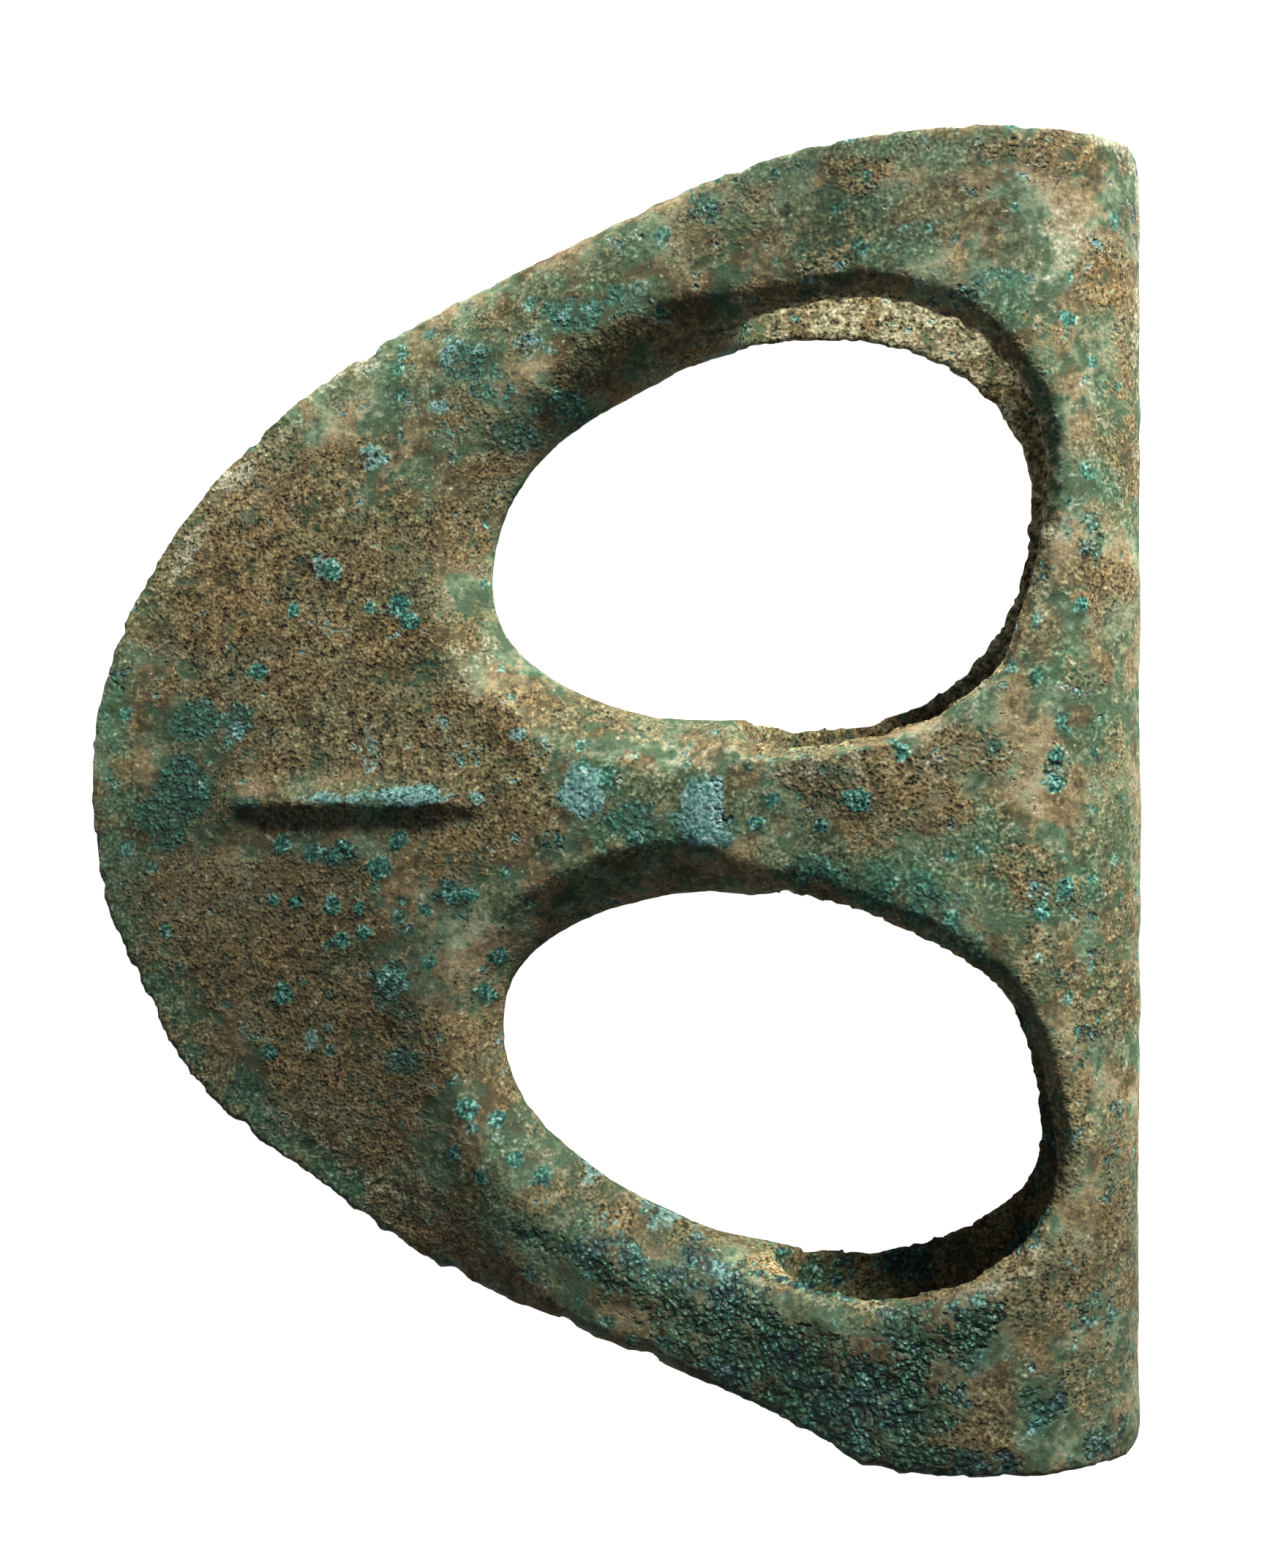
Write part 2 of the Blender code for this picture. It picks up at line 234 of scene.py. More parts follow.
@dataclass(frozen=True)
class HeadForm:
    """The casting's true shape without growths, with its lengths in millimetres.

    The roundings are curves whose power is full_round, a quarter ellipse, on the socket and
    less by round_loss on arms and blade. Stations give shares of head_depth and then of half
    the socket's thickness (section) or length (outline); the rims are shares of an ellipse.
    """

    socket_length: float = 99.0
    head_depth: float = 84.9
    socket_thickness: float = 20.0
    socket_wall: float = 2.5
    socket_back_wall: float = 3.0
    belly_from_back: float = 14.5
    hole_depth_top: float = 32.3
    hole_depth_bottom: float = 27.6
    hole_front_round: float = 3.0
    mouth_flat: float = 21.0
    edge_half_thickness: float = 0.55
    bevel_width: float = 22.0
    arm_edge_land: float = 1.2
    arm_edge_round: float = 1.8
    blade_begins: float = 62.0
    arm_ends: float = 44.0
    window_length: float = 42.0
    window_height: float = 30.2
    window_back_band: float = 8.6
    middle_arm: float = 13.2
    middle_arm_below_middle: float = 0.5
    window_round: float = 4.7
    window_round_on_socket: float = 3.0
    arms_begin: float = 38.0
    full_round: float = 2.0
    round_loss: float = 0.8
    seam_land: float = 0.4
    lip_height: float = 0.45
    lip_from_window: float = 3.6
    lip_width: float = 2.2
    rib_length: float = 23.0
    rib_from_back: float = 62.0
    rib_upper_width: float = 2.6
    rib_lower_width: float = 1.4
    rib_height: float = 1.1
    section_stations: tuple[tuple[float, float], ...] = (
        (0.17, 1.00),
        (0.25, 0.90),
        (0.33, 0.69),
        (0.40, 0.56),
        (0.49, 0.47),
        (0.60, 0.37),
        (0.73, 0.27),
        (1.00, 0.12),
    )
    outline_stations: tuple[tuple[float, float], ...] = (
        (0.357, 0.982),
        (0.446, 0.937),
        (0.534, 0.875),
        (0.703, 0.753),
        (0.822, 0.612),
        (0.933, 0.396),
        (0.989, 0.182),
        (1.000, 0.010),
        (0.984, -0.192),
        (0.944, -0.330),
        (0.893, -0.474),
        (0.789, -0.613),
        (0.661, -0.751),
        (0.517, -0.845),
        (0.397, -0.907),
        (0.308, -0.958),
    )
    upper_rim: tuple[float, ...] = (
        0.965, 1.06, 1.10, 0.985, 0.865, 0.90, 0.985, 1.095, 1.055, 0.97, 1.005, 0.98,
    )
    lower_rim: tuple[float, ...] = (
        0.985, 0.955, 0.905, 0.955, 1.03, 1.06, 0.93, 0.805, 0.77, 0.865, 1.04, 1.115,
    )
    curve_points: int = 720

    def curve_through(self, stations: np.ndarray) -> np.ndarray:
        """Close points on a smooth curve through the stations.

        Knots lie at sums of square roots of the chords, slopes are central differences, and
        each piece is the cubic with those end points and slopes.

        Args:
            stations: (m, 2) points that the curve meets.

        Returns:
            (curve_points, 2) points.
        """
        points = np.asarray(stations, float)
        chord = np.sqrt(np.linalg.norm(np.diff(points, axis=0), axis=1))
        knots = np.concatenate([[0.0], np.cumsum(chord)])
        slopes = np.gradient(points, knots, axis=0)
        wanted = np.linspace(0.0, knots[-1], self.curve_points)
        piece = np.clip(np.searchsorted(knots, wanted, side="right") - 1, 0, len(knots) - 2)
        span = (knots[piece + 1] - knots[piece])[:, None]
        u = (wanted - knots[piece])[:, None] / span
        return (
            (1 + 2 * u) * (1 - u) ** 2 * points[piece]
            + u * (1 - u) ** 2 * span * slopes[piece]
            + u * u * (3 - 2 * u) * points[piece + 1]
            + u * u * (u - 1) * span * slopes[piece + 1]
        )

    def outer_edge(self) -> np.ndarray:
        """Outer edge of arms and blade, from the top mouth round to the bottom mouth.

        Returns:
            (curve_points, 2) points of the plan.
        """
        half = self.socket_length / 2
        shares = np.array(self.outline_stations)
        stations = np.column_stack([-self.head_depth * shares[:, 0], half * shares[:, 1]])
        ends = np.array([[-self.mouth_flat, half], [-self.mouth_flat, -half]])
        return self.curve_through(np.vstack([ends[:1], stations, ends[1:]]))

    def window_centre(self, side: int) -> np.ndarray:
        """Centre of a window in the plan.

        Args:
            side: 1 for the upper window, -1 for the lower one.

        Returns:
            x and y.
        """
        along = self.middle_arm / 2 + self.window_height / 2
        back = self.window_back_band + self.window_length / 2
        return np.array([-back, side * along - self.middle_arm_below_middle])

    def window_radius(self, side: int, angle: np.ndarray) -> np.ndarray:
        """Distance from a window's centre to its rim on the seam plane.

        An ellipse whose reach is multiplied by a smooth periodic curve through twelve shares.

        Args:
            side: 1 for the upper window, -1 for the lower one.
            angle: (n,) directions from the centre, in radians.

        Returns:
            (n,) distances in millimetres.
        """
        across = np.cos(angle) / (self.window_length / 2)
        upward = np.sin(angle) / (self.window_height / 2)
        shares = np.array(self.upper_rim if side > 0 else self.lower_rim)
        at = np.arctan2(upward, across) / (2 * math.pi) * len(shares)
        first = np.floor(at)
        u = at - first
        pick = [shares[(first.astype(int) + step) % len(shares)] for step in (-1, 0, 1, 2)]
        share = (
            pick[1]
            + 0.5 * u * (pick[2] - pick[0])
            + u**2 * (pick[0] - 2.5 * pick[1] + 2.0 * pick[2] - 0.5 * pick[3])
            + 0.5 * u**3 * (3.0 * (pick[1] - pick[2]) + pick[3] - pick[0])
        )
        return share / np.hypot(across, upward)

    def window_rim(self, side: int) -> np.ndarray:
        """A window's closed rim on the seam plane.

        Args:
            side: 1 for the upper window, -1 for the lower one.

        Returns:
            (curve_points, 2) points of the plan.
        """
        angle = np.linspace(0.0, 2 * math.pi, self.curve_points, endpoint=False)
        radius = self.window_radius(side, angle)[:, None]
        turned = np.column_stack([np.cos(angle), np.sin(angle)])
        return self.window_centre(side) + radius * turned

    def to_edge(self, plan: np.ndarray) -> np.ndarray:
        """Distance of each point of the plan from the outer edge."""
        return nearest(self.outer_edge(), plan)[0]

    def to_window(self, plan: np.ndarray) -> np.ndarray:
        """Distance of each point of the plan from the nearer window's rim."""
        return np.minimum(*(nearest(self.window_rim(side), plan)[0] for side in (1, -1)))

    def section(self, depth: np.ndarray) -> np.ndarray:
        """Half the thickness at a distance from the back, before any edge is rounded.

        A quarter ellipse from the back to the belly, then a smooth curve down to the blade.

        Args:
            depth: Distances from the socket's back, of any array shape.

        Returns:
            Heights over the seam plane, in the same array shape.
        """
        belly = self.socket_thickness / 2
        toward_back = np.clip(1.0 - depth / self.belly_from_back, 0.0, 1.0)
        stations = np.array(self.section_stations)
        stations[0, 0] = self.belly_from_back / self.head_depth
        profile = self.curve_through(stations)
        blade = np.interp(depth / self.head_depth, profile[:, 0], profile[:, 1])
        back = np.sqrt(1.0 - toward_back**2)
        return belly * np.where(depth < self.belly_from_back, back, blade)

    def half_thickness(self, plan: np.ndarray) -> np.ndarray:
        """Height of the face above the seam plane at points of the plan.

        The section is brought down to a narrow land at the outer edge and rounded to the seam
        at the windows; a low lip follows the windows' blade ends and a rib stands on the blade.

        Args:
            plan: (n, 2) points.

        Returns:
            (n,) heights.
        """
        depth = -plan[:, 0]
        full = self.section(depth)
        to_window = self.to_window(plan)

        hole_front = (self.hole_depth_top + self.hole_depth_bottom) / 2
        on_socket = 1.0 - smooth_step(hole_front, self.arm_ends, depth)
        on_blade = smooth_step(self.arm_ends, self.blade_begins, depth)
        land = self.arm_edge_land + (self.edge_half_thickness - self.arm_edge_land) * on_blade
        land = np.minimum(land + (full - land) * on_socket, full)
        reach = self.arm_edge_round + (self.bevel_width - self.arm_edge_round) * on_blade
        power = self.full_round - self.round_loss * on_blade
        short = 1.0 - np.clip(self.to_edge(plan) / reach, 0.0, 1.0)
        height = land + (full - land) * (1.0 - short**power) ** (1.0 / power)

        lip = np.exp(-(((to_window - self.lip_from_window) / self.lip_width) ** 2))
        window_end = self.window_back_band + self.window_length
        height = height + self.lip_height * lip * smooth_step(self.arm_ends, window_end, depth)

        off_end = (depth - self.rib_from_back) / (self.rib_length / 2)
        off_rib = plan[:, 1] + self.middle_arm_below_middle
        off_rib /= np.where(off_rib > 0.0, self.rib_upper_width, self.rib_lower_width)
        along = np.clip(1.0 - off_end**2, 0.0, 1.0)
        across = 0.5 * (1.0 + np.cos(math.pi * np.clip(off_rib, -1.0, 1.0)))
        height = height + self.rib_height * np.sqrt(along) * across

        reach, power = self.window_rounding(depth)
        inward = 1.0 - np.clip(to_window / reach, 0.0, 1.0)
        rounding = (1.0 - inward**power) ** (1.0 / power)
        return self.seam_land + (height - self.seam_land) * rounding

    def window_rounding(self, depth: np.ndarray) -> tuple[np.ndarray, np.ndarray]:
        """Width and power of the rounding beside a window: short and full on the socket.

        Args:
            depth: (n,) distances from the socket's back.

        Returns:
            (n,) widths in millimetres and (n,) powers, where 2 is a quarter ellipse.
        """
        on_arm = smooth_step(self.hole_depth_bottom, self.arms_begin, depth)
        on_socket = self.window_round_on_socket
        width = on_socket + (self.window_round - on_socket) * on_arm
        return width, self.full_round - self.round_loss * on_arm


def far_from(plan: np.ndarray, x: float, y: float) -> np.ndarray:
    """Distance of each point of the plan from one place."""
    return np.hypot(plan[:, 0] - x, plan[:, 1] - y)


def nearest(
    line: np.ndarray, plan: np.ndarray, at_once: int = 4000
) -> tuple[np.ndarray, np.ndarray]:
    """Distance from each point to a line of close points, and the index of the nearest one.

    Args:
        line: (m, 2) points.
        plan: (n, 2) points.
        at_once: About how many points are worked out together, to save memory.

    Returns:
        (n,) distances and (n,) indices.
    """
    far = []
    which = []
    for block in np.array_split(plan, max(1, len(plan) // at_once)):
        squared = (
            (block**2).sum(axis=1)[:, None] - 2.0 * block @ line.T + (line**2).sum(axis=1)[None]
        )
        index = squared.argmin(axis=1)
        which.append(index)
        far.append(np.linalg.norm(block - line[index], axis=1))
    return np.concatenate(far), np.concatenate(which)


@dataclass(frozen=True)
class CastingMesh:
    """Turns the form into one closed, evenly divided surface, with lengths in millimetres.

    Attributes:
        form: The casting's shape.
        step: Distance between rays at the boundary.
        most_rim, most_edge: Most that the roundings may take of a ray's length.
        rim_rings, field_rings, edge_rings: Rings at the window, between, and at the edge.
        hole_steps, hole_length_steps: Steps in a quarter of the hole's outline, and along it.
        hole_overrun: How far the hole's filling sticks out of each mouth.
        no_rise: A sine below this is that of the seam itself.
        seam_weld: Points nearer than this to each other become one.
        voxel: Width of the final mesh's squares.
    """

    form: HeadForm
    step: float = 0.6
    most_rim: float = 0.6
    most_edge: float = 0.3
    rim_rings: int = 12
    field_rings: int = 14
    edge_rings: int = 10
    hole_steps: int = 40
    hole_length_steps: int = 50
    hole_overrun: float = 3.0
    no_rise: float = 1e-9
    seam_weld: float = 0.002
    voxel: float = 0.463

    def spread(self, line: np.ndarray) -> np.ndarray:
        """The same line with points at equal steps over the surface, without its last point.

        Args:
            line: (m, 2) points of the plan.

        Returns:
            (k, 2) points of the plan.
        """
        raised = np.column_stack([line, self.form.section(-line[:, 0])])
        run = np.concatenate([[0.0], np.cumsum(np.linalg.norm(np.diff(raised, axis=0), axis=1))])
        wanted = np.linspace(0.0, run[-1], max(2, round(run[-1] / self.step)) + 1)
        return np.column_stack([np.interp(wanted, run, line[:, axis]) for axis in (0, 1)])[:-1]

    def straight(self, start: tuple[float, float], end: tuple[float, float]) -> np.ndarray:
        """Straight line with points at squared shares of its length, closest at the back.

        Args:
            start: x and y of its first point.
            end: x and y of its last point.

        Returns:
            (curve_points, 2) points.
        """
        share = np.linspace(0.0, 1.0, self.form.curve_points)[:, None] ** 2
        if start[0] < end[0]:
            share = 1.0 - share[::-1]
        return np.array(start) + share * (np.array(end) - np.array(start))

    def boundary(self, side: int) -> tuple[np.ndarray, int, int]:
        """Boundary of one half of the plan, and where its free edge starts and ends.

        It runs along the back, the mouth, the outer edge and home along the middle line.

        Args:
            side: 1 for the upper half, -1 for the lower one.

        Returns:
            (m, 2) points, index of the mouth's first point, index of the middle line's first.
        """
        form = self.form
        half = side * form.socket_length / 2
        middle = -form.middle_arm_below_middle
        edge = form.outer_edge()[::side]
        rise = (edge[:, 1] - middle) * side
        beyond = int(np.nonzero(rise < 0.0)[0][0])
        share = rise[beyond - 1] / (rise[beyond - 1] - rise[beyond])
        tip_x = edge[beyond - 1, 0] + share * (edge[beyond, 0] - edge[beyond - 1, 0])
        back = self.spread(self.straight((0.0, middle), (0.0, half)))
        mouth = self.spread(self.straight((0.0, half), (-form.mouth_flat, half)))
        own_edge = self.spread(np.vstack([edge[:beyond], [tip_x, middle]]))
        home = self.spread(self.straight((tip_x, middle), (0.0, middle)))
        parts = [back, mouth, own_edge, home]
        return np.vstack(parts), len(back), len(back) + len(mouth) + len(own_edge)

    def half_head(self, side: int) -> tuple[np.ndarray, np.ndarray]:
        """Vertices and quads of one half of the head, open only at the middle line.

        Rays run from a window's centre through its rim to the boundary. Round each ray the
        rings go over the shown face, through the window's wall and back over the hidden face.

        Args:
            side: 1 for the upper half, -1 for the lower one.

        Returns:
            (n, 3) places and (m, 4) indices.
        """
        form = self.form
        centre = form.window_centre(side)
        outer, free_start, free_end = self.boundary(side)
        ray = outer - centre
        reach = np.linalg.norm(ray, axis=1)
        inner = form.window_radius(side, np.arctan2(ray[:, 1], ray[:, 0]))
        length = reach - inner
        rounding, _ = form.window_rounding(-(centre + ray * (inner / reach)[:, None])[:, 0])
        rim = np.minimum(rounding, self.most_rim * length)
        edge = np.minimum(form.arm_edge_round, self.most_edge * length)
        rim_turn = 1.0 - np.cos(np.linspace(0.0, math.pi / 2, self.rim_rings + 1))
        field_share = np.linspace(0.0, 1.0, self.field_rings + 1)[1:]
        edge_turn = np.sin(np.linspace(0.0, math.pi / 2, self.edge_rings + 1))[1:]
        runs = np.vstack([
            rim_turn[:, None] * rim,
            rim + field_share[:, None] * (length - rim - edge),
            length - edge + edge_turn[:, None] * edge,
        ])
        plan = centre + ray * ((inner + runs) / reach)[:, :, None]
        rings, around = plan.shape[:2]
        height = form.half_thickness(plan.reshape(-1, 2)).reshape(rings, around, 1)
        shown = np.concatenate([plan, height], axis=2)
        hidden = np.concatenate([plan, -height], axis=2)
        loop = np.concatenate([shown[::-1], hidden], axis=0)

        closed = np.ones((2 * rings, around), bool)
        closed[-1] = False
        closed[-1, free_start:free_end] = True
        quads = grid_quads(2 * rings, around)[closed]
        return loop.reshape(-1, 3), quads if side > 0 else quads[:, ::-1]

    def shaft_hole(self) -> tuple[np.ndarray, np.ndarray]:
        """Vertices and quads of the body that fills the shaft hole and overruns both mouths.

        Each level is a closed teardrop: round at the back, as high as the section less the
        wall, and blunt at its narrow front, which leans with the height.

        Returns:
            (n, 3) places and (m, 4) indices.
        """
        form = self.form
        half = form.socket_length / 2 + self.hole_overrun
        level = np.linspace(-half, half, self.hole_length_steps + 1)[:, None]
        lean = (form.hole_depth_top - form.hole_depth_bottom) / form.socket_length
        front = form.hole_depth_bottom + lean * (level + form.socket_length / 2)
        turn = np.linspace(2 * math.pi, 0.0, 4 * self.hole_steps, endpoint=False)[None]
        back = form.socket_back_wall
        depth = back + (front - back) * (1.0 - np.cos(turn)) / 2
        belly = form.socket_thickness / 2 - form.socket_wall
        from_belly = (form.belly_from_back - depth) / (form.belly_from_back - back)
        behind = belly * np.sqrt(1.0 - np.clip(from_belly, 0.0, 1.0) ** 2)
        blunt = 1.0 - np.clip((front - depth) / form.hole_front_round, 0.0, 1.0)
        ahead = (form.section(depth) - form.socket_wall) * np.sqrt(1.0 - blunt**2)
        half_gap = np.where(depth < form.belly_from_back, behind, ahead)
        rise = np.sin(turn)
        height = half_gap * np.sign(rise) * (np.abs(rise) > self.no_rise)
        points = np.stack([-depth, np.broadcast_to(level, depth.shape), height], axis=2)
        return points.reshape(-1, 3), grid_quads(*depth.shape)[:-1].reshape(-1, 4)

    def build(self) -> bpy.types.Mesh:
        """Weld the halves, cut the shaft hole and divide the whole surface evenly.

        Returns:
            A closed mesh in millimetres in the mould frame.
        """
        upper, upper_quads = self.half_head(1)
        lower, lower_quads = self.half_head(-1)
        vertices = np.vstack([upper, lower])
        quads = np.vstack([upper_quads, lower_quads + len(upper)])
        head = mesh_object("casting_form", vertices, quads)
        weld = head.modifiers.new("seam", "WELD")
        weld.merge_threshold = self.seam_weld

        filling, filling_quads = self.shaft_hole()
        cutter = mesh_object("shaft_hole_form", filling, filling_quads, caps=4 * self.hole_steps)
        cut = head.modifiers.new("shaft_hole", "BOOLEAN")
        cut.operation = "DIFFERENCE"
        cut.solver = "EXACT"
        cut.object = cutter
        even = head.modifiers.new("even", "REMESH")
        even.mode = "VOXEL"
        even.voxel_size = self.voxel
        depsgraph = bpy.context.evaluated_depsgraph_get()
        mesh = bpy.data.meshes.new_from_object(head.evaluated_get(depsgraph))
        for done in (head, cutter):
            bpy.data.objects.remove(done, do_unlink=True)
        return mesh


def grid_quads(rings: int, around: int) -> np.ndarray:
    """Quads of a grid whose rings are closed and whose last ring meets the first.

    Args:
        rings: How many rings it has.
        around: How many vertices each ring has; they are numbered ring by ring.

    Returns:
        (rings, around, 4) indices.
    """
    index = np.arange(rings * around).reshape(rings, around)
    beside = np.roll(index, -1, axis=1)
    corners = [index, beside, np.roll(beside, -1, axis=0), np.roll(index, -1, axis=0)]
    return np.stack(corners, axis=2)


def mesh_object(
    name: str, vertices: np.ndarray, quads: np.ndarray, caps: int = 0
) -> bpy.types.Object:
    """Put vertices and quads into a new linked object.

    Args:
        name: Name of the object and its mesh.
        vertices: (n, 3) places.
        quads: (m, 4) indices.
        caps: Length of a ring; if given, the first and the last ring are closed by a face.

    Returns:
        The object.
    """
    faces = quads.tolist()
    if caps:
        last = len(vertices) - caps
        faces += [list(range(caps))[::-1], list(range(last, last + caps))]
    mesh = bpy.data.meshes.new(name)
    mesh.from_pydata(vertices.tolist(), [], faces)
    mesh.update()
    made = bpy.data.objects.new(name, mesh)
    bpy.context.scene.collection.objects.link(made)
    return made


def places(mesh: bpy.types.Mesh) -> np.ndarray:
    """Vertex places of a mesh.

    Args:
        mesh: Any mesh.

    Returns:
        (n, 3) places.
    """
    flat = np.empty(3 * len(mesh.vertices))
    mesh.vertices.foreach_get("co", flat)
    return flat.reshape(-1, 3)


def put_places(mesh: bpy.types.Mesh, points: np.ndarray) -> None:
    """Move a mesh's vertices to (n, 3) places."""
    mesh.vertices.foreach_set("co", points.ravel())
    mesh.update()


def outward(mesh: bpy.types.Mesh) -> np.ndarray:
    """Unit normals of a mesh's vertices.

    Args:
        mesh: Any mesh.

    Returns:
        (n, 3) normals.
    """
    flat = np.empty(3 * len(mesh.vertices))
    mesh.vertex_normals.foreach_get("vector", flat)
    return flat.reshape(-1, 3)


def evened(mesh: bpy.types.Mesh, values: np.ndarray, rounds: int, share: float) -> np.ndarray:
    """Blend each vertex's values with the mean of its neighbours', several times over.

    Args:
        mesh: Mesh whose edges say which vertices are neighbours.
        values: (n, k) values of its vertices.
        rounds: How many times.
        share: Weight of the neighbours' mean, from 0 to 1.

    Returns:
        (n, k) blended values.
    """
    edges = np.empty(2 * len(mesh.edges), np.int64)
    mesh.edges.foreach_get("vertices", edges)
    first, second = edges.reshape(-1, 2).T
    count = np.bincount(edges, minlength=len(values))[:, None]
    for _ in range(rounds):
        total = np.column_stack([
            np.bincount(first, column[second], len(values))
            + np.bincount(second, column[first], len(values))
            for column in values.T
        ])
        values = values + share * (total / count - values)
    return values


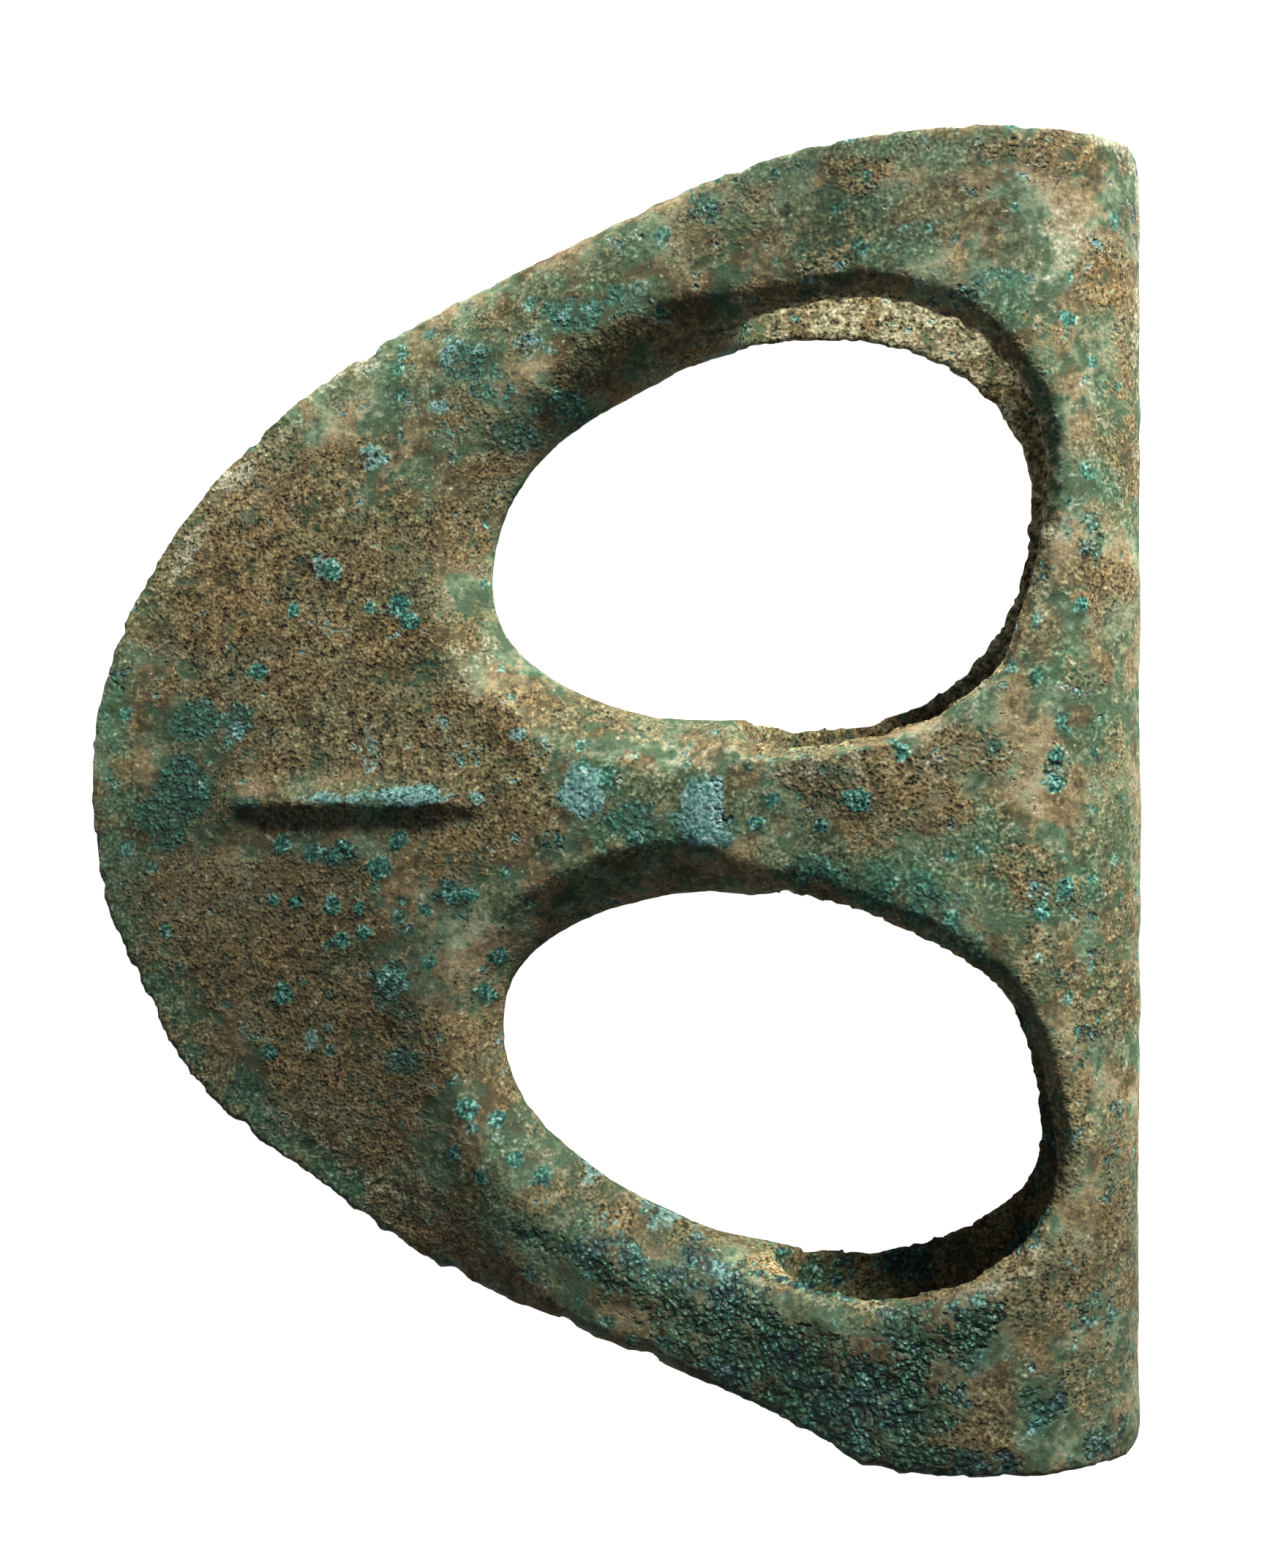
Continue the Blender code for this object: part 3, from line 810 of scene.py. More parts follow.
# The growths placed on the shown face. Each row is one patch: x, y, half length, half width,
# turn and amount.
PLACED: dict[Growth, tuple[tuple[float, ...], ...]] = {
    Growth.EARTH: (
        (-66.5, 14.5, 13.3, 11.3, 20, 1), (-71.9, 24.1, 7.4, 4.7, 40, 0.8),
        (-75.3, 0.6, 4.1, 7.5, 0, 0.5), (-54.7, 4.3, 8.4, 4.5, 0, 1),
        (-49.6, 0.6, 5.1, 3.8, 0, 1), (-69.9, -10.2, 11.4, 6, 0, 0.85),
        (-63.9, -17.1, 11.9, 5.9, -20, 0.85), (-63.2, -24, 8.6, 4.6, -30, 0.8),
        (-52.2, -3.8, 5.1, 2.6, 20, 0.8), (-76.6, -19.9, 4.1, 4.1, -40, 0.4),
        (-51.5, -18.6, 3.2, 5.8, 20, 0.5), (-56, -33.7, 5.8, 2.9, -30, 0.8),
        (-39.5, -31.7, 7.5, 2, -22, 0.8), (-30.3, -37.6, 3.6, 1.5, -20, 0.5),
        (-49.6, 37, 3.8, 2.2, 25, 0.5), (-42, 34.8, 4.4, 2.5, 30, 0.7),
        (-51.5, 23.5, 3.2, 5.8, -20, 0.6), (-54.7, 19.9, 3.2, 3.9, 0, 0.7),
        (-32.1, 43.8, 3.7, 2.5, 15, 0.5), (-21.4, 46.7, 3.4, 1.6, 10, 0.7),
        (-27.3, 39, 4.8, 1.8, 10, 0.5), (-10.6, 47.5, 2.8, 1.1, 0, 0.6),
        (-6.6, 47.6, 3.6, 1.8, 0, 0.7), (-3.6, 38.8, 2.4, 3.1, 0, 0.7),
        (-8.9, 33.8, 1.7, 3.4, -20, 0.4), (-1.4, 29.7, 1.7, 7.6, 0, 0.6),
        (-3.6, 16.2, 3.4, 2.1, 0, 0.9), (-4.8, 9.3, 2.4, 1.8, 0, 0.4),
        (-18.5, 0, 5.7, 3.1, 5, 0.8), (-23.7, 2.9, 5.3, 1.6, 0, 0.6),
        (-10.6, 3.5, 2.3, 1.7, 0, 0.4), (-8.9, -5.1, 3.4, 2.3, -30, 0.7),
        (-2.2, -4.7, 1.5, 12.4, 0, 0.5), (-8.3, -12, 3.4, 2.3, -40, 0.6),
        (-3, -14.5, 2.8, 4, 0, 0.7), (-6.6, -22.9, 2.4, 4.8, 0, 0.7),
        (-2.2, -31.7, 2.1, 7.4, 0, 0.6), (-7.8, -35.4, 4, 3.4, 0, 0.8),
        (-4.2, -42.7, 3, 3, 0, 0.6), (-13.5, -46.2, 3.4, 2.3, 20, 0.9),
        (-34.6, -42.6, 1.7, 1.1, -20, 0.9), (-25.5, -39.9, 2.7, 1.7, 0, 0.7),
        (-20.3, -37, 2.9, 1.1, 0, 0.4), (-44.5, 7.3, 5, 1.4, -20, 0.7),
        (-35.8, 5.4, 5.5, 1.1, 0, 0.4), (-66, 24, 7, 3.2, 40, 0.9), (-58, 20, 4, 3.4, 0, 0.8),
        (-22, 2, 6.5, 2.4, 0, 0.9), (-14, 3.2, 4, 2, 0, 0.8), (-71, -14, 7, 4, -20, 0.9),
        (-66, 6, 9, 5, 0, 0.9), (-52, 30, 5, 3, 30, 0.5), (-14.9, -46, 2.4, 1.5, 30, 0.9),
        (-12.2, -44.5, 1.5, 2, 0, 0.8), (-21.1, -37.3, 1.2, 2, 20, 0.8),
        (-67.9, -0.7, 4, 1.2, 0, 0.9),
    ),
    Growth.CRUST: (
        (-46.4, -35.1, 3.2, 1.6, -35, 0.7), (-41.4, -36.1, 4.4, 2.3, -20, 0.84),
        (-34.6, -39.2, 5.5, 2.8, -22, 0.84), (-27.9, -42, 6, 2.8, -25, 0.84),
        (-24.9, -45.7, 4.1, 1.8, -25, 0.84), (-16.3, -38.4, 4.8, 2.4, 10, 0.84),
        (-19.1, -44.4, 6.3, 3.1, 0, 0.84), (-14.6, -48.1, 5.1, 1.2, 0, 0.84),
        (-8.3, -44.5, 2, 2.3, 0, 0.7), (-3.6, -47.4, 2.4, 1.2, 15, 0.8),
        (-4.2, -38.6, 1.8, 2.4, 0, 0.45), (-11.2, 44.1, 2.3, 1.7, 0, 0.35),
        (-14, 37.2, 2.3, 1.1, 0, 0.4), (-7.2, 46.9, 1.8, 1.1, 0, 0.4),
        (-10.1, 45.2, 1, 1, 0, 0.4), (-1.4, 43.4, 1, 2.5, 0, 0.5), (-8.1, 17.2, 1, 1.4, 0, 0.7),
        (-4.5, 19.6, 1.3, 1.8, 0, 0.6), (-5.1, 23.1, 1.2, 1.8, 0, 0.4),
        (-7.2, 2.1, 1.1, 2.1, 0, 0.65), (-4.8, 7, 1.8, 3, 0, 0.3), (-7.5, -7.1, 1.6, 1.6, 0, 0.5),
        (-4.8, -18.4, 1.7, 1.7, 0, 0.6), (-7.8, -13.1, 1.5, 1.1, 0, 0.5),
        (-4.2, -9.8, 1.2, 3.6, 0, 0.35), (-2.6, -26.8, 1.5, 4.9, 0, 0.4),
        (-33.3, -0.6, 1.9, 2.5, 0, 0.35), (-45.8, -3.4, 1.6, 1.3, 0, 0.7),
        (-82.1, 8.9, 1, 2.5, 0, 0.5), (-33, -38.4, 3.2, 2.2, -20, 0.84),
        (-37.6, -38.6, 2.6, 1.6, -20, 0.8), (-25, -40.4, 2.6, 1.8, -10, 0.8),
        (-31.5, -36.9, 4, 1.7, -20, 0.84), (-36.4, -41.2, 3.4, 1.6, -32, 0.84),
        (-31.8, -43.4, 3.4, 1.5, -30, 0.84), (-27.3, -45.5, 3.4, 1.5, -30, 0.84),
        (-22.3, -47.5, 3.4, 1.5, -22, 0.84), (-17.4, -48.7, 3.6, 1.3, -10, 0.8),
    ),
    Growth.TEAL: (
        (-77, 0.9, 3.1, 2.9, 0, 1), (-78.7, -2, 2.1, 2.2, 0, 0.9),
        (-75.8, 6.3, 2.4, 1.8, 0, 0.95), (-71.9, 6.4, 1.5, 1.3, 0, 0.8),
        (-73, 3.9, 0.9, 1.2, 0, 0.7), (-43.6, 37.9, 3, 1.6, -10, 0.8),
        (-39.5, 38.9, 1.9, 1.4, 0, 0.6), (-52.2, 34.7, 2.6, 1.5, 0, 0.8),
        (-49.6, 32.1, 2.5, 1.4, -20, 0.7), (-54.1, 28.5, 2.6, 1.3, 0, 0.5),
        (-48.3, 28.9, 2.5, 1.5, 15, 0.6), (-44.5, 30.6, 1.6, 1.3, 0, 0.7),
        (-54.1, -8.1, 1.7, 1.7, 0, 0.8), (-58, -15.2, 2.9, 2.2, 0, 0.75),
        (-57.9, -21, 2, 1.2, 0, 0.7), (-54.7, -11.9, 1, 1.6, 0, 0.6),
        (-64.6, -4.4, 2.6, 0.9, 0, 0.6), (-57.7, -10.7, 1.3, 0.8, 0, 0.7),
        (-71.2, -0.4, 1.7, 0.9, 0, 0.8), (-54.7, -19.3, 1.3, 1.3, 0, 0.4),
        (-33.3, 45.7, 1.5, 1.9, 0, 0.6), (-37, 43, 1.4, 1.4, 0, 0.4),
        (-82.1, -8.5, 2.1, 6.2, 8, 0.35), (-70.6, -24.2, 2.7, 1.5, -35, 0.4),
        (-83.5, 3.8, 1, 4.2, 5, 0.5), (-36, -1.9, 4.6, 1.8, 0, 0.65),
        (-43.2, 0.2, 2.2, 1.7, 70, 0.6), (-77.2, 0.7, 3.4, 2.5, 47, 1),
        (-76.1, 6.1, 2.3, 1.5, 156, 0.8), (-54.4, -8.1, 1.7, 1.3, 38, 0.8),
        (-59.8, 0.1, 3.6, 1, 175, 0.5), (-63.2, -4.4, 1.5, 1, 0, 0.7),
        (-56.9, -14.3, 3.7, 1.5, 41, 0.6), (-83.5, 0.5, 2.6, 0.9, 82, 0.5),
        (-18.4, -6.8, 5.5, 2.3, 161, 0.6), (-11.9, 4.4, 1.5, 0.9, 70, 0.5),
        (-12, 37.9, 2.8, 1.4, 0, 0.55), (-18.8, 40.8, 2, 1.2, 82, 0.4),
        (-42.2, 37.7, 2.2, 1, 0, 0.6), (-25.9, 47.7, 1.8, 0.9, 26, 0.55),
        (-45.8, 30.6, 1.2, 0.7, 0, 0.55), (-38.1, 37.9, 1, 0.7, 78, 0.5),
        (-6.4, 20.4, 1.3, 0.8, 120, 0.45), (-6.8, 24.4, 1, 0.7, 90, 0.45),
        (-7.5, 30.7, 1, 0.6, 115, 0.4), (-71.7, 5.9, 1.1, 0.8, 70, 0.5),
        (-16.2, -41.3, 6, 3, 43, 0.6), (-31.9, -38.5, 5.8, 1.6, 161, 0.6),
        (-39.8, -37.3, 1.9, 1.6, 0, 0.65), (-20.2, -34.1, 2, 0.9, 0, 0.7),
        (-44.2, -37.4, 1.6, 0.8, 134, 0.6), (-34.1, -40.2, 1.5, 0.8, 18, 0.7),
        (-82.6, -5.2, 1.2, 0.7, 118, 0.45), (-9.9, 44.9, 0.8, 0.6, 138, 0.4),
        (-11.7, 42.3, 1, 0.8, 153, 0.45), (-57, 0.6, 4.8, 1.2, 0, 0.6),
        (-38.3, -1.5, 3.2, 1.3, 5, 0.75), (-45.8, -3.4, 1.6, 1.1, 30, 0.7),
        (-23.6, 2.1, 1.6, 1, -20, 0.7), (-22.1, 0.1, 1.2, 0.8, 0, 0.75),
        (-24, -2, 1.3, 0.8, -10, 0.7), (-24.2, -5.1, 3, 1.1, -20, 0.75),
    ),
    Growth.GREEN: (
        (-18.5, 42.4, 5.1, 3.4, 0, 0.9), (-24.3, 41, 4.7, 1.5, 10, 0.8),
        (-11.8, 36.6, 2.8, 2.3, -40, 0.8), (-15.7, 47.6, 6.7, 1.7, 0, 0.5),
        (-28.5, 46.9, 4.8, 2.1, 15, 0.5), (-38.3, 41.9, 5, 2.5, 20, 0.5),
        (-45.8, 38.1, 5.7, 3.8, 25, 0.6), (-54.7, 34.2, 5.8, 3.9, 30, 0.6),
        (-49.6, 29.6, 4.5, 3.8, 0, 0.35), (-54.7, 24.8, 3.9, 3.2, 0, 0.4),
        (-53.1, 11.4, 2.9, 3.2, 0, 0.6), (-8.3, 26.4, 1.4, 6.8, -4, 0.6),
        (-3, 24.4, 2.1, 6.4, 0, 0.7), (-8.3, 10.9, 2.8, 3.4, 30, 0.7),
        (-14, 6.9, 3.4, 1.7, 20, 0.5), (-38.3, 0.9, 7.4, 1.7, 0, 0.9),
        (-28.5, -1.5, 5.4, 1.6, -10, 0.7), (-21.4, -4.6, 6.3, 1.7, -15, 0.9),
        (-12.6, -2.8, 2.6, 5.1, 10, 0.9), (-16.3, -6.3, 3.9, 2.8, -30, 0.8),
        (-4.2, 3.5, 1.8, 3.6, 0, 0.5), (-5.4, -6.3, 2.4, 3.6, 0, 0.5),
        (-46.4, -3.7, 1.5, 1.4, 0, 0.9), (-82.1, -5.2, 2.8, 10.4, 5, 0.9),
        (-78.7, -18, 3.4, 4.8, 30, 0.9), (-71.9, -24.2, 5.4, 2.4, -40, 0.9),
        (-63.2, -29, 5.9, 2.4, -35, 0.9), (-54.7, -30.5, 5.2, 2.6, -30, 0.6),
        (-49, -29.7, 5.7, 3.2, -25, 0.7), (-49.6, -35.9, 4.5, 1.7, -25, 0.8),
        (-44.5, -28.2, 4.4, 2.3, -25, 0.6), (-33.3, -33.7, 5.6, 1.9, -15, 0.6),
        (-22.6, -38.4, 4.1, 1.5, 0, 0.5), (-12.3, -37.7, 2.8, 2.3, 0, 0.5),
        (-5.4, -33.3, 2.4, 3.6, 0, 0.4), (-10.6, -42.2, 1.7, 2.3, 0, 0.6),
        (-63.2, -1.3, 4, 1.7, 0, 0.4), (-58, -1.3, 3.9, 1.7, 0, 0.5),
        (-18.5, 47.3, 8, 1.5, 0, 0.8), (-3.4, 24.4, 1.8, 4.5, 0, 0.7),
        (-4.2, -4.6, 2.2, 3.6, 0, 0.8), (-12.9, -1.7, 3, 2.4, 0, 1), (-4.2, 7, 1.6, 2.8, 0, 0.5),
        (-49.5, -32.2, 5, 2.2, -28, 0.8), (-42, -33.6, 4, 2, -22, 0.8),
        (-33, -38.2, 3.6, 2, -20, 0.9), (-52.2, 29.7, 2.6, 2, 0, 0.15),
        (-60.5, -4, 3.2, 1.4, 10, 0.6), (-76.5, -3.5, 3, 2.6, 0, 0.8),
        (-74, 3.4, 3.4, 3.4, 0, 0.7), (-66.5, -2.6, 3, 1.6, 0, 0.6), (-12, -5, 6.5, 2.4, -20, 1),
        (-59.5, 0.5, 6.5, 1.4, 0, 1), (-44.5, -32, 5, 2.4, -24, 1), (-19.5, 47.8, 7, 1.4, 0, 0.9),
        (-39.5, -2.8, 4.5, 1.8, 5, 0.95), (-25.5, -5, 4.5, 1.6, -18, 0.9),
        (-23.7, 2.1, 2.4, 1.6, -20, 0.8), (-27.3, -34.9, 2.6, 1.2, -40, 0.75),
        (-23.1, -37.6, 3.4, 1, -15, 0.7), (-19.7, -7.5, 5, 1.6, -30, 0.95),
        (-14, -11.4, 4, 1.5, -45, 0.9), (-59.9, -1, 5, 1, 0, 0.8),
        (-29.4, -33.9, 2.6, 1.2, -30, 0.8),
    ),
    # Pale bloom and wear, partly painted highlight where window rims, edges and the back face the
    # light.
    Growth.PALE: (
        (-2.2, 49, 3.3, 2.1, -10, 0.9), (-0.1, 47.2, 0.9, 3.7, 0, 0.8),
        (-6.9, 41.8, 2, 2.7, 0, 0.7), (-8.3, 38.4, 1.7, 2.3, 0, 0.4),
        (-0.3, 36.2, 0.8, 11.2, 0, 0.6), (-7.2, 21.8, 1.5, 4.1, 0, 0.45),
        (-49.6, 10.5, 1.9, 3.8, 20, 0.35), (-52.2, 9.9, 2.9, 2.6, 0, 0.4),
        (-24.9, 2.4, 5.9, 0.8, -4, 0.6), (-15.7, 6.1, 3.9, 0.7, 24, 0.6),
        (-8.3, 14.9, 0.9, 3.4, -10, 0.5), (-63.2, 34.5, 4, 0.8, 30, 0.6),
        (-72.6, 26, 2.4, 0.9, 40, 1), (-76, 21, 3.4, 0.7, 55, 0.8),
        (-39.5, -30.8, 5.6, 0.9, -25, 0.5), (-33.3, -33.1, 4.3, 1.1, -15, 0.5),
        (-45.8, -28.9, 3.8, 1.4, -25, 0.35), (-26.7, -36, 3, 0.8, -30, 0.8),
        (-20.8, -37.5, 3.4, 0.5, -8, 0.8), (-14, -36.2, 3.4, 0.5, 18, 0.8),
        (-9.5, -32.5, 0.9, 2.8, 10, 0.5), (-20.8, -40.8, 2.3, 1, 0, 0.5),
        (-4.8, 27.7, 0.8, 4.8, 0, 0.35), (-61.9, -30.2, 5.3, 0.8, -32, 0.5),
        (-68.5, -26, 3.3, 0.7, -35, 0.6), (-63.9, 23.2, 1.7, 0.5, 30, 0.5),
        (-48, 28.3, 2.5, 0.6, 40, 0.4), (-69.2, 18.3, 1.2, 0.7, 0, 0.35),
        (-22, 2.4, 9, 1.8, 0, 0.45), (-33, 3.4, 6, 1.4, 0, 0.4), (-52, 28, 3.4, 1.8, 30, 0.35),
    ),
    Growth.BLOOM: (
        (-43.2, 0.7, 1.5, 2.1, 20, 1.3), (-44.5, -0, 0.9, 0.8, 0, 0.7),
        (-34, -0.9, 1.6, 2.4, 0, 1.3), (-33, -3, 1.7, 0.6, 0, 0.8),
        (-32.6, 0.6, 0.5, 1.4, 0, 0.8), (-56.7, 0.3, 3, 0.8, 0, 1), (-63.9, 0.1, 3, 0.6, 0, 0.7),
        (-51.7, 0.2, 1, 0.6, 0, 0.8), (-60.9, 4.6, 1.2, 1.12, 0, 0.42),
        (-60.6, 2.4, 1.2, 0.84, 0, 0.35), (-64.4, 18.5, 1.3, 0.9, 0, 0.8),
        (-60.9, 27.4, 1.1, 1.4, 0, 0.7), (-65.6, 23.9, 0.8, 0.7, 0, 0.4),
        (-37.4, -32.8, 1.7, 1.2, 0, 0.7), (-43.3, -29.4, 2.5, 1.5, 0, 0.4),
        (-32.4, -36.3, 1, 0.9, 0, 0.7), (-48.3, 5.1, 0.8, 0.6, 0, 0.9),
        (-55.2, 31.3, 0.8, 0.6, 0, 0.7), (-65.6, -19.3, 0.8, 1.2, 0, 0.7),
        (-53.1, 35.6, 1.9, 1.3, 0, 0.4), (-38.6, 39.5, 0.9, 0.7, 0, 0.6),
        (-45.8, 35.2, 0.6, 0.6, 0, 0.6), (-47.1, 36.3, 1.6, 0.9, 0, 0.4),
        (-58.1, -14.7, 2, 1, 0, 0.4), (-43.6, 37.9, 1.9, 0.6, 0, 0.35),
        (-71.9, 5.6, 1.1, 0.9, 0, 0.6), (-8.1, -6.8, 1.1, 0.9, 0, 0.4),
        (-9.5, -46.3, 1, 0.8, 0, 0.5), (-10.6, 45.5, 1.4, 0.6, 0, 0.5),
    ),
    Growth.RUST: (
        (-72, 17, 7, 4, 56, 0.7), (-73.5, 23, 3.4, 2.2, 56, 0.6), (-63.5, 27, 4.5, 2.2, 35, 0.45),
        (-62.2, -18.4, 6.5, 2.8, 116, 0.5), (-72.6, -13.8, 4.8, 2.6, 21, 0.5),
        (-54.6, -4.5, 5.5, 1.8, 33, 0.6), (-47.8, 8.3, 3.4, 1.5, 136, 0.45),
        (-68.8, -22.5, 2.2, 1.9, 20, 0.5), (-54.6, -21.6, 2.2, 1.5, 90, 0.6),
        (-19.1, 1.8, 3, 1.4, 152, 0.6), (-52, 20.1, 2, 1.2, 22, 0.7),
        (-4.4, 16.2, 2.2, 1, 43, 0.6), (-52.1, -18.4, 1.5, 1.2, 124, 0.6),
        (-52.7, -14.1, 2.2, 0.8, 59, 0.6), (-41.1, -33.9, 1.4, 1, 0, 0.5),
        (-3.4, 38.6, 1.8, 1.4, 100, 0.9), (-4.8, 47.4, 3.2, 1.3, 0, 0.9),
        (-8.6, -39.5, 1.1, 0.9, 116, 0.6), (-59.8, 24.4, 1.3, 0.8, 160, 0.6),
        (-7.6, 42.3, 0.9, 0.7, 0, 0.8), (-24.2, 42.3, 3.2, 1.6, 5, 0.5),
        (-20.4, 46.5, 1.8, 0.8, 10, 0.6), (-13.7, 39.9, 2.4, 0.8, 5, 0.55),
        (-7, 33.5, 1.8, 1.4, 20, 0.35), (-59.8, 17, 2, 1, 20, 0.5),
        (-59, 14.2, 1.6, 0.9, 10, 0.7), (-6.1, -9.9, 1, 0.6, 65, 0.5),
        (-1.6, -28.9, 0.9, 0.6, 93, 0.5), (-36, -32.6, 3.2, 1, 160, 0.5),
        (-47.5, -31, 2.4, 1.4, 150, 0.4), (-1.8, 30, 1.2, 3.4, 0, 0.45),
        (-3, 3.5, 1.6, 1.2, 0, 0.4), (-34.7, -42.2, 1.3, 0.9, -30, 0.8),
        (-29.7, -44.4, 1.6, 0.7, -30, 0.7),
    ),
}
PATCHES = tuple(Patch(growth, *row) for growth, rows in PLACED.items() for row in rows)

# Ring-shaped blue-green pustules: middle and radius in millimetres
PUSTULES = (
    (-70.2, 10.4, 0.7), (-67.1, 15.4, 0.5), (-60.6, 15.2, 0.5), (-58.2, 15.5, 0.8),
    (-57.1, 14.1, 0.7), (-63.9, 18.4, 0.8), (-68.1, -3.6, 0.7), (-65.5, -4.4, 0.6),
    (-64, -4.6, 0.7), (-62.6, -4.1, 0.7), (-58.3, -3.4, 0.7), (-59.8, -5.6, 0.9),
    (-68.9, -8.3, 0.5), (-67, -8.4, 0.5), (-63.9, -8.6, 0.7), (-61.5, -8.7, 0.5),
    (-78.4, -11, 0.6), (-61.1, -10.7, 0.6), (-63.1, -11.4, 0.7), (-55.7, -13, 0.6),
    (-50.1, -12.7, 0.7), (-59.3, -14.5, 0.7), (-68.2, -15.8, 0.8), (-51.4, -15.3, 0.6),
    (-69.5, -20.7, 0.6), (-64.2, -20.5, 0.5), (-52.5, -24.5, 0.8), (-50.2, -25.4, 0.6),
    (-53.6, -28.2, 0.6), (-51.4, -29.8, 0.6), (-48.6, -28.4, 0.6), (-46.4, -29.6, 0.6),
    (-43.9, -25.8, 0.6), (-21.7, 0, 0.8), (-24.6, -2, 0.5), (-29.5, -1.8, 0.5), (-28.2, 0.1, 0.5),
    (-18.5, 3.5, 0.6), (-7.2, 3.2, 0.6), (-7.4, 1.2, 0.6), (-5.4, 14.4, 0.5), (-6.3, 35.3, 0.5),
    (-8.3, -8.2, 0.6), (-6.6, -6.2, 0.6), (-50.9, -15.8, 0.5), (-56, -8.8, 0.6),
    (-53.8, -7.5, 0.8), (-52.2, -7.6, 0.6),
)


@dataclass(frozen=True)
class Nick:
    """A bite out of the outer edge: its middle, half its width and its depth, in millimetres."""

    x: float
    y: float
    half_width: float
    depth: float


NICKS = (
    Nick(-67.6, -31.2, 0.8, 0.55),
    Nick(-61.5, -34.6, 1.0, 0.35),
    Nick(-72.0, -27.2, 0.9, 0.25),
    Nick(-75.8, -23.5, 1.1, 0.2),
    Nick(-79.6, -17.0, 1.0, 0.2),
    Nick(-82.4, -11.5, 1.2, 0.25),
    Nick(-83.9, 3.5, 1.2, 0.4),
    Nick(-81.8, 13.4, 1.0, 0.4),
    Nick(-54.0, -38.4, 1.2, 0.4),
    Nick(-61.5, 36.2, 1.0, 0.45),
    Nick(-70.8, 29.3, 0.9, 0.3),
    Nick(-30.6, 47.8, 1.0, 0.35),
    Nick(-24.0, 48.9, 0.8, 0.3),
    Nick(-44.9, -41.6, 1.0, 0.35),
    Nick(-38.0, -43.8, 0.9, 0.35),
    Nick(-20.0, -49.3, 1.4, 0.4),
)


